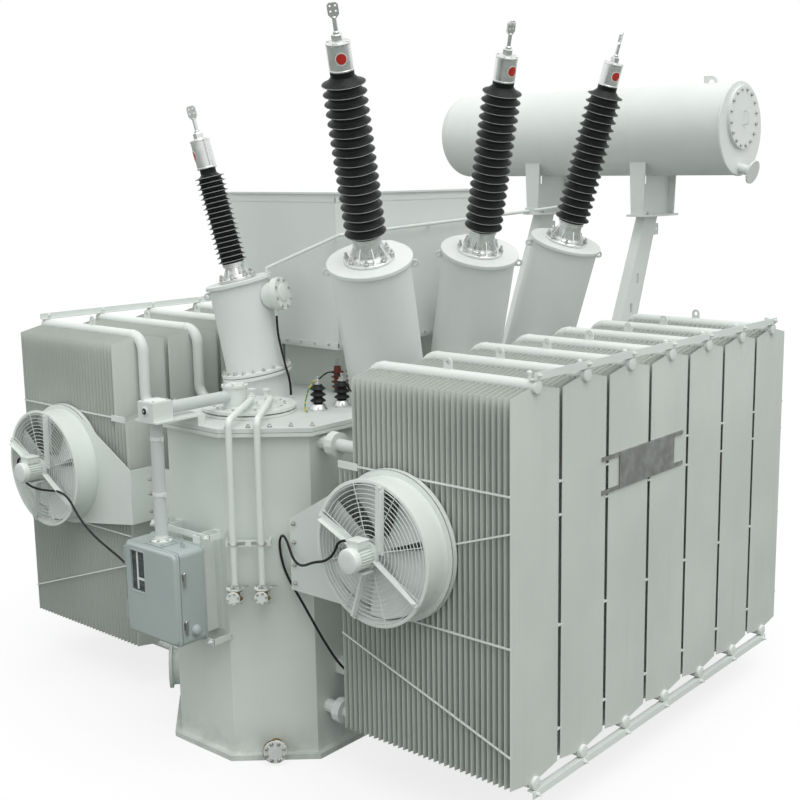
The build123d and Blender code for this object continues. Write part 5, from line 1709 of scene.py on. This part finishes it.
@dataclass
class CoverTrim:
    """What stands on the cover: bolts of its rim and of the tap changer, gearbox and small insulators."""

    cover: float = 2.492
    head: tuple[float, float] = (0.0, -1.662)
    head_radius: float = 0.35
    head_top: float = 2.545
    flange_height: float = 0.022
    shaft: tuple[float, float] = (0.0, -2.52)
    gear: Triple = (0.0, -1.8, 2.7155)
    posts: tuple[tuple[float, float], ...] = ((-0.02, -0.7), (0.05, -0.6))
    plugs: tuple[tuple[float, float], ...] = ((-0.2, -1.46), (-0.1, -1.4))

    def add_head(self, trim: Shape, nuts: Shape) -> None:
        """Adds the tap changer's raised rim, plugs and its two rows of bolts.

        Args:
            trim: Takes the trim.
            nuts: Takes the bolts.
        """
        seat = Seat((*self.head, self.cover))
        r, top = self.head_radius, self.head_top - self.cover
        rim_low, rim_high = 0.002, self.flange_height - 0.002
        trim.turned(seat, [(r - 0.02, rim_low), (r + 0.0015, rim_low), (r + 0.0015, rim_high),
                           (r - 0.02, rim_high)], 72, loop=True)
        nuts.stamp(ring_seats(seat, r - 0.02, 24, self.flange_height, 7.5), bolt(0.014, stud=0.01))
        nuts.stamp(ring_seats(seat, r - 0.085, 20, top, 4.0), bolt(0.011))
        trim.turned(Seat((*self.head, self.head_top)), [
            (0.235, -0.001), (0.235, 0.008), (0.228, 0.012), (0.1, 0.016), (0.06, 0.03), (0.02, 0.032)], 48)
        for angle in np.arange(6) * TURN / 6 + 0.3:
            foot = Seat((self.head[0] + 0.15 * cos(angle), self.head[1] + 0.15 * sin(angle),
                         self.head_top))
            nuts.turned(foot, [(0.02, 0.008), (0.02, 0.026), (0.012, 0.032)], 6)
        for x, y in self.plugs:
            trim.turned(Seat((x, y, self.head_top - 0.02)), [
                (0.028, 0.0), (0.028, 0.034), (0.022, 0.04), (0.022, 0.072), (0.03, 0.076), (0.03, 0.088),
                (0.012, 0.092)],
                                                           20)
        gear = Seat(self.gear)
        nuts.stamp(ring_seats(gear, 0.08, 6, 0.0, 10.0), bolt(0.01))
        trim.turned(gear, [(0.03, 0.0), (0.03, 0.01), (0.024, 0.014)], 20)

    def add_gearbox(self, trim: Shape, dark: Shape, nuts: Shape) -> None:
        """Adds the corner gearbox's bosses, its dark plug, bracket folds and the guard's clips.

        Args:
            trim: Takes the trim.
            dark: Takes the plug.
            nuts: Takes the bolts.
        """
        x, y = self.shaft
        seat = Seat((x, y - 0.085, 2.64), (0, -1, 0))
        trim.turned(seat, [(0.034, -0.001), (0.034, 0.005), (0.03, 0.008), (0.02, 0.009)], 32)
        dark.turned(seat.moved(z=0.0085), [(0.022, 0), (0.022, 0.003), (0.019, 0.005)], 24)
        nuts.turned(seat.moved(z=0.013), [(0.01, 0), (0.01, 0.004), (0.006, 0.006)], 6)
        trim.block((x - 0.078, y - 0.078, 2.699), (x + 0.078, y + 0.078, 2.707))
        nuts.stamp([Seat((x + dx, y + dy, 2.7065)) for dx in (-0.06, 0.06) for dy in (-0.06, 0.06)],
                   bolt(0.009))
        foot = Seat((x, y, 1.6715))
        trim.turned(foot, [(0.074, 0.0185), (0.074, 0.029), (0.07, 0.031), (0.047, 0.032), (0.046, 0.06),
                           (0.0455, 0.062)], 32)
        nuts.stamp(ring_seats(foot, 0.062, 6, 0.031, 0.0), bolt(0.011))
        for z in (2.02, 2.42):
            trim.turned(Seat((x, y, z)), [(0.0445, 0.0), (0.048, 0.002), (0.048, 0.024), (0.0445, 0.026)], 32)
            trim.block((x + 0.045, y - 0.006, z + 0.001), (x + 0.07, y + 0.006, z + 0.025))

    def add_insulators(self, sheds: Shape, nuts: Shape) -> None:
        """Adds the small red-brown post insulators under the outlet box's near edge.

        Args:
            sheds: Takes the insulators.
            nuts: Takes the bolts.
        """
        for x, y in self.posts:
            foot = Seat((x, y, self.cover))
            profile = [(0.028, 0.0)]
            for up in (0.05, 0.09, 0.13, 0.17):
                profile += [(0.028, up - 0.016), (0.052, up - 0.004), (0.054, up), (0.03, up + 0.01)]
            sheds.turned(foot, profile + [(0.028, 0.215), (0.018, 0.22)], 24)
            nuts.turned(foot.moved(z=0.219), [(0.016, 0), (0.016, 0.05), (0.01, 0.056)], 6)
            nuts.turned(foot, [(0.046, 0.0), (0.046, 0.014), (0.03, 0.018)], 20)

    def add_straps(self, black: Shape, green: Shape) -> None:
        """Adds the earth straps: black bands between the small bushings, and a two-colour lead.

        Args:
            black: Takes the bands.
            green: Takes the two-colour lead.
        """
        top = self.cover + 0.2
        for (x, y), (u, v), rise in (((0.39, -1.325), (0.43, -1.11), 0.055),
                                     ((0.43, -1.11), (0.56, -0.94), -0.1)):
            share = np.linspace(0, 1, 15)
            drop = 0.19 if rise < 0 else 0.0
            height = top + 0.022 + rise * np.sin(pi * share) - drop * share ** 2
            line = np.column_stack([x + (u - x) * share, y + (v - y) * share, height])
            black.tube(line, 0.006, 8)
        points = [(0.39, -1.325, top + 0.024), (0.375, -1.345, top + 0.03), (0.345, -1.385, top - 0.05),
                  (0.335, -1.405, top - 0.13), (0.345, -1.42, self.cover + 0.012),
                  (0.4, -1.45, self.cover + 0.008)]
        green.tube(bend(points, 0.012, 5), 0.0055, 8)

    def build(self) -> None:
        """Makes the cover's trim."""
        trim, nuts, dark, sheds, black, green = (Shape() for _ in range(6))
        self.add_head(trim, nuts)
        self.add_gearbox(trim, dark, nuts)
        self.add_insulators(sheds, nuts)
        self.add_straps(black, green)
        low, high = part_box("tank_cover")
        rim_bolt, edge = bolt(0.018, stud=0.01), 0.022
        nuts.stamp([Seat((x, high.y - edge, self.cover)) for x in np.arange(-0.86, 0.87, 0.172)], rim_bolt)
        for y in np.arange(-1.2, 2.2, 0.17):
            nuts.stamp([Seat((x, y, self.cover)) for x in (low.x + edge, high.x - edge)], rim_bolt)
        for side in (1, -1):
            near, far = np.array([side * 0.325, -2.246]), np.array([side * high.x, -1.745])
            way = unit(far - near)
            inward = np.array([-way[1], way[0]]) * (1 if side > 0 else -1)
            for step in np.arange(0.06, np.linalg.norm(far - near) - 0.03, 0.15):
                nuts.stamp([Seat((*(near + way * step + inward * 0.025), self.cover))], rim_bolt)
        finish_piece(trim.object("cover_trim"), Look.FITTINGS)
        finish_piece(nuts.object("cover_nuts"), Look.ZINC)
        finish_piece(dark.object("gearbox_plugs"), Look.CABLE)
        finish_piece(sheds.object("post_insulators", 50.0), Look.CLAY)
        finish_piece(black.object("earth_straps", 60.0), Look.CABLE)
        finish_piece(green.object("earth_lead", 60.0), Look.STRIPED)


@dataclass
class TerminalBoxes:
    """Bolts on the lids of the round boxes on the turrets, with their rims and small round tags."""

    aims: tuple[tuple[float, float], ...] = ((-0.35, 0.94), (-0.82, 0.57), (-0.3, 0.95), (0.93, 0.37))
    down: float = 0.17
    reach: float = 0.12
    lid: float = 0.128

    def build(self) -> None:
        """Adds each lid's rim, bolts and nameless tag."""
        lid = self.lid
        nuts, rims = Shape(), Shape()
        for one, aim in zip(BushingSet().bushings, self.aims):
            up = one.seat.rows()[2]
            level = np.array([*aim, 0.0])
            out = unit(level - up * np.dot(level, up))
            face = Seat(np.asarray(one.top) - up * self.down + out * (one.turret_radius + self.reach), out,
                        up)
            nuts.stamp(ring_seats(face, lid - 0.016, 8, 0.0, 11.0), bolt(0.013))
            rims.turned(face, [(lid - 0.01, -0.034), (lid + 0.002, -0.032),
                               (lid + 0.002, -0.024), (lid - 0.01, -0.022)], 40, loop=True)
            rims.turned(face, [(0.07, -0.0005), (0.07, 0.006), (0.064, 0.009)], 32)
        finish_piece(nuts.object("lid_bolts"), Look.ZINC)
        finish_piece(rims.object("lid_rims"), Look.FITTINGS)


@dataclass
class Conservator:
    """The oil vessel's trim: weld bands, the hatch's bolts and rim, bolts of the saddles and legs."""

    radius: float = 0.42
    axis_y: float = 2.77
    axis_z: float = 4.624
    hatch_radius: float = 0.28
    hatch_bolts: int = 16
    hatch_up: float = 0.1
    saddles: tuple[float, float] = (-0.345, 0.875)
    end_x: float = 1.775
    foot: float = 3.818
    saddle_half: float = 0.29
    wall: float = 0.012
    bands: tuple[float, ...] = (0.14, 1.3, 2.3)

    def build(self) -> None:
        """Adds the trim to the vessel."""
        low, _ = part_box("conservator")
        _, hatch_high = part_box("conservator_hatch")
        trim, bolts = Shape(), Shape()
        r = self.radius
        for band in self.bands:
            trim.turned(Seat((low.x + band, self.axis_y, self.axis_z), (1, 0, 0)),
                        [(r - 0.004, -0.008), (r + 0.0025, -0.004), (r + 0.0025, 0.004), (r - 0.004, 0.008)],
                        96, loop=True)
        rim = [(r - 0.02, -0.004), (r + 0.004, -0.004), (r + 0.007, 0.0), (r + 0.007, 0.01),
               (r + 0.004, 0.014), (r - 0.02, 0.014)]
        trim.turned(Seat((self.end_x - 0.018, self.axis_y, self.axis_z), (1, 0, 0)), rim, 96, loop=True)
        hatch = Seat((hatch_high.x, self.axis_y, self.axis_z + self.hatch_up), (1, 0, 0))
        bolts.stamp(ring_seats(hatch, self.hatch_radius - 0.026, self.hatch_bolts, 0.0, 11.0), bolt(0.018))
        trim.stamp([hatch.moved(z=-0.002)], self.handle())
        saddles = Shape()
        for x in self.saddles:
            self.add_saddle(saddles, x)
            spots = [Seat((x + side * 0.085, self.axis_y + end * 0.235, self.foot + 0.02))
                     for side in (1, -1) for end in (1, -1)]
            bolts.stamp(spots, bolt(0.02, stud=0.01))
        finish_piece(saddles.object("vessel_saddles"), Look.UPPER, replaces=["conservator_saddles"])
        finish_piece(trim.object("vessel_trim"), Look.UPPER)
        finish_piece(bolts.object("hatch_bolts"), Look.ZINC)

    def add_saddle(self, saddles: Shape, x: float) -> None:
        """Adds one saddle: its foot plate, an upright web with a slot, and a tapered flange at each end.

        Args:
            saddles: Takes the saddles.
            x: The saddle's X.
        """
        half, wall, top = self.saddle_half, self.wall, self.foot + 0.02
        saddles.block((x - 0.11, self.axis_y - half - 1.5 * wall, self.foot),
                      (x + 0.11, self.axis_y + half + 1.5 * wall, top))
        web = Seat((x - wall / 2, self.axis_y, top), (1, 0, 0), (0, 1, 0))
        slot = rounded(0.034, 0.084, 0.006) + (-half / 2, 0.33)
        saddles.stamp([web], cut_plate([(-half, 0), (half, 0), (half, 0.56), (-half, 0.56)], [slot], wall))
        for end in (1, -1):
            face = Seat((x, self.axis_y + end * half, top), (0, end, 0), (-end, 0, 0))
            saddles.prism(face, [(-0.065, 0), (0.065, 0), (0.09, 0.56), (-0.09, 0.56)], wall)

    def handle(self) -> Shape:
        """The hatch's bail: one rod bent twice, standing on the lid.

        Returns:
            The pattern.
        """
        made = Shape()
        made.tube(bend([(0.0, -0.06, 0.0), (0.0, -0.06, 0.045), (0.0, 0.06, 0.045), (0.0, 0.06, 0.0)], 0.014,
                       5), 0.007, 10)
        return made


@dataclass
class SmallParts:
    """Bolts and trim of the outlet box and the drain."""

    outlet: tuple[float, float, float, float] = (-1.205, 0.11, -0.81, 1.15)
    outlet_z: tuple[float, float] = (2.862, 4.092)
    drain: Triple = (0.625, -2.083, 0.102)
    drain_out: Triple = (0.6575, -0.7534, 0.0)

    def add_outlet(self, trim: Shape, nuts: Shape) -> None:
        """Adds the outlet box's drip edge, lower folds and seam bolts.

        Args:
            trim: Takes the trim.
            nuts: Takes the bolts.
        """
        x0, x1, y0, y1 = self.outlet
        z0, z1 = self.outlet_z
        drip_low, drip_high = z0 + 0.02, z0 + 0.052
        trim.block((x0 - 0.004, y0 - 0.004, drip_low), (x1 + 0.004, y0 + 0.002, drip_high))
        trim.block((x1 - 0.002, y0 - 0.004, drip_low), (x1 + 0.004, y1 + 0.004, drip_high))
        trim.block((x1 - 0.002, y0 - 0.003, z1 - 0.062), (x1 + 0.003, y1 + 0.003, z1 - 0.03))
        trim.block((x0 - 0.003, y0 - 0.003, z1 - 0.062), (x1 + 0.003, y0 + 0.002, z1 - 0.03))
        for y in np.arange(y0 + 0.09, y1, 0.16):
            nuts.stamp([Seat((x1 + 0.004, y, z0 + 0.036), (1, 0, 0))], bolt(0.011))
        for x in np.arange(x0 + 0.09, x1, 0.16):
            nuts.stamp([Seat((x, y0 - 0.004, z0 + 0.036), (0, -1, 0))], bolt(0.011))

    def build(self) -> None:
        """Makes the small parts."""
        trim, nuts = Shape(), Shape()
        self.add_outlet(trim, nuts)
        out = np.array(self.drain_out)
        blank = Seat(np.array(self.drain) - out * 0.001, out)
        trim.turned(blank, [(0.084, -0.01), (0.088, -0.008), (0.088, 0.006), (0.085, 0.009), (0.022, 0.01)],
                    40)
        nuts.stamp(ring_seats(blank, 0.068, 8, 0.009, 22.5), bolt(0.014))
        finish_piece(trim.object("outlet_trim"), Look.UPPER)
        finish_piece(nuts.object("outlet_bolts"), Look.ZINC)


@dataclass
class Fittings:
    """Nodes that keep their own shape, with their finish."""

    finishes: dict[Look, str] = field(default_factory=lambda: {
        Look.BODY: "base_plate tank manhole outlet_plinth",
        Look.TOP: "tank_cover",
        Look.UPPER: "turrets outlet_box conservator conservator_hatch conservator_legs",
        Look.FITTINGS: "ct_boxes tapchanger_head shaft_gearbox cabinet_frame radiator_valves radiator_rails "
                       "radiator_ties fan_plate_right fan_plate_left gas_pipes",
        Look.GUARDS: "shaft_guards",
        Look.CABINET: "cabinet_body",
        Look.GLASS: "cabinet_window",
        Look.ZINC: "filter_lever_1 filter_lever_2",
        Look.BRASS: "drain_valve",
        Look.PLATE: "name_plate",
    })

    def build(self) -> None:
        """Dresses every kept node."""
        for look, nodes in self.finishes.items():
            for node in nodes.split():
                dress_node(FRAME, node, look)


# Camera, light and floor


@dataclass
class Studio:
    """The photograph's viewing angle, soft light and a pale floor."""

    place: Triple = (6.84211, -7.58436, 4.2597)
    azimuth: float = 39.117
    dip: float = 9.757
    roll: float = -0.465
    lens: float = 54.21
    shift: tuple[float, float] = (-0.0726, -0.0269)
    sky: float = 0.92
    sky_colour: Triple = (0.97, 1.0, 0.985)
    sun: float = 1.38
    sun_from: Triple = (0.4, -0.12, 0.92)

    @staticmethod
    def stand(made: bpy.types.Object, turn: Array, place: Triple) -> None:
        """Links an object to the scene, turned and moved to its place.

        Args:
            made: The object.
            turn: Its three directions as columns.
            place: Its origin.
        """
        matrix = np.eye(4)
        matrix[:3, :3], matrix[:3, 3] = turn, place
        made.matrix_world = Matrix(matrix)
        bpy.context.scene.collection.objects.link(made)

    def build_camera(self) -> None:
        """Stands the camera where the photograph was taken from."""
        a, p, r = (radians(value) for value in (self.azimuth, self.dip, self.roll))
        ahead = np.array([-sin(a) * cos(p), cos(a) * cos(p), -sin(p)])
        right = np.array([cos(a), sin(a), 0.0])
        up = np.cross(right, ahead)
        turned_right = right * cos(r) + up * sin(r)
        turned_up = up * cos(r) - right * sin(r)
        data = bpy.data.cameras.new("view")
        data.lens = self.lens
        data.sensor_width = 36.0
        data.shift_x, data.shift_y = self.shift
        data.clip_end = 500.0
        camera = bpy.data.objects.new("view", data)
        self.stand(camera, np.column_stack([turned_right, turned_up, -ahead]), self.place)
        bpy.context.scene.camera = camera

    def build_world(self) -> None:
        """A soft sky for the object, and white for what the camera, metal and glass see."""
        world = bpy.data.worlds.new("sky")
        world.use_nodes = True
        tree = world.node_tree
        tree.nodes.clear()
        kinds = ("LightPath", "Math", "Math", "Background", "Background", "MixShader", "OutputWorld")
        path, seen, also, light, white, mix, end = (tree.nodes.new(f"ShaderNode{kind}") for kind in kinds)
        seen.operation = also.operation = "MAXIMUM"
        light.inputs[0].default_value = rgba(self.sky_colour)
        light.inputs[1].default_value = self.sky
        white.inputs[0].default_value = rgba((1, 1, 1))
        links = ((path, "Is Camera Ray", seen, 0), (path, "Is Glossy Ray", seen, 1), (seen, 0, also, 0),
                 (path, "Is Transmission Ray", also, 1), (also, 0, mix, 0), (light, 0, mix, 1),
                 (white, 0, mix, 2), (mix, 0, end, 0))
        for giver, output, taker, entry in links:
            tree.links.new(giver.outputs[output], taker.inputs[entry])
        bpy.context.scene.world = world

    def build_sun(self) -> None:
        """One broad lamp from above, as a bright overcast sky gives."""
        data = bpy.data.lights.new("overcast", "SUN")
        data.energy = self.sun
        data.angle = radians(50)
        data.color = (1.0, 0.99, 0.97)
        lamp = bpy.data.objects.new("overcast", data)
        self.stand(lamp, Seat((0, 0, 0), self.sun_from).rows().T, (0, 0, 0))

    def build_floor(self, half: float = 90.0) -> None:
        """A pale floor that keeps the shadow and meets the white background.

        Args:
            half: Half of the floor's width.
        """
        floor = Shape()
        floor.add(np.array([(-half, -half, 0), (half, -half, 0), (half, half, 0), (-half, half, 0)], float)
                  - np.array([0, 0, 0.001]), [np.arange(4)[None, :]])
        made = floor.object("floor")
        sheet = NodeSheet("pale_floor")
        diffuse = sheet.add("ShaderNodeBsdfDiffuse", None, {0: rgba((0.86, 0.87, 0.87))})
        glow = sheet.add("ShaderNodeEmission", None, {0: rgba((1, 1, 1)), 1: 1.0})
        dark = sheet.add("ShaderNodeBsdfDiffuse", None, {0: rgba((0.24, 0.25, 0.24))})
        seen = sheet.add("ShaderNodeMixShader", None, {0: 0.8, 1: diffuse, 2: glow})
        camera_ray = sheet.add("ShaderNodeLightPath", output="Is Camera Ray")
        mixed = sheet.add("ShaderNodeMixShader", None, {0: camera_ray, 1: dark, 2: seen})
        sheet.tree.links.new(mixed.socket, sheet.output.inputs["Surface"])
        made.data.materials.append(sheet.material)

    def build(self) -> None:
        """Builds the whole studio."""
        self.build_camera()
        self.build_world()
        self.build_sun()
        self.build_floor()
        bpy.context.scene.view_settings.view_transform = "Standard"


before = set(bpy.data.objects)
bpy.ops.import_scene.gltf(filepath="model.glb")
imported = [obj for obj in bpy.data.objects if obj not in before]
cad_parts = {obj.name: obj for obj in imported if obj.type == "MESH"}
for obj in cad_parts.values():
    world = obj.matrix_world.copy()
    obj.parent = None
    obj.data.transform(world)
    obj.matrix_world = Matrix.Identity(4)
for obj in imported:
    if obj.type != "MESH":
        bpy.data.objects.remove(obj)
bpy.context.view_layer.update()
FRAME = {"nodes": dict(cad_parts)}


def main() -> None:
    """Builds the studio, the leads and every sub-assembly in order."""
    logging.basicConfig(level=logging.INFO, format="%(message)s")
    Studio().build()
    Leads().build()
    Fittings().build()
    Radiators().build()
    BushingSet().build()
    EarthBushings().build()
    for fan in (Fan(Bank.RIGHT, 1.728), Fan(Bank.LEFT, -1.995)):
        fan.build()
    Cabinet().build()
    FilterPipes().build()
    CoverTrim().build()
    TerminalBoxes().build()
    Conservator().build()
    SmallParts().build()


if __name__ == "__main__":
    main()
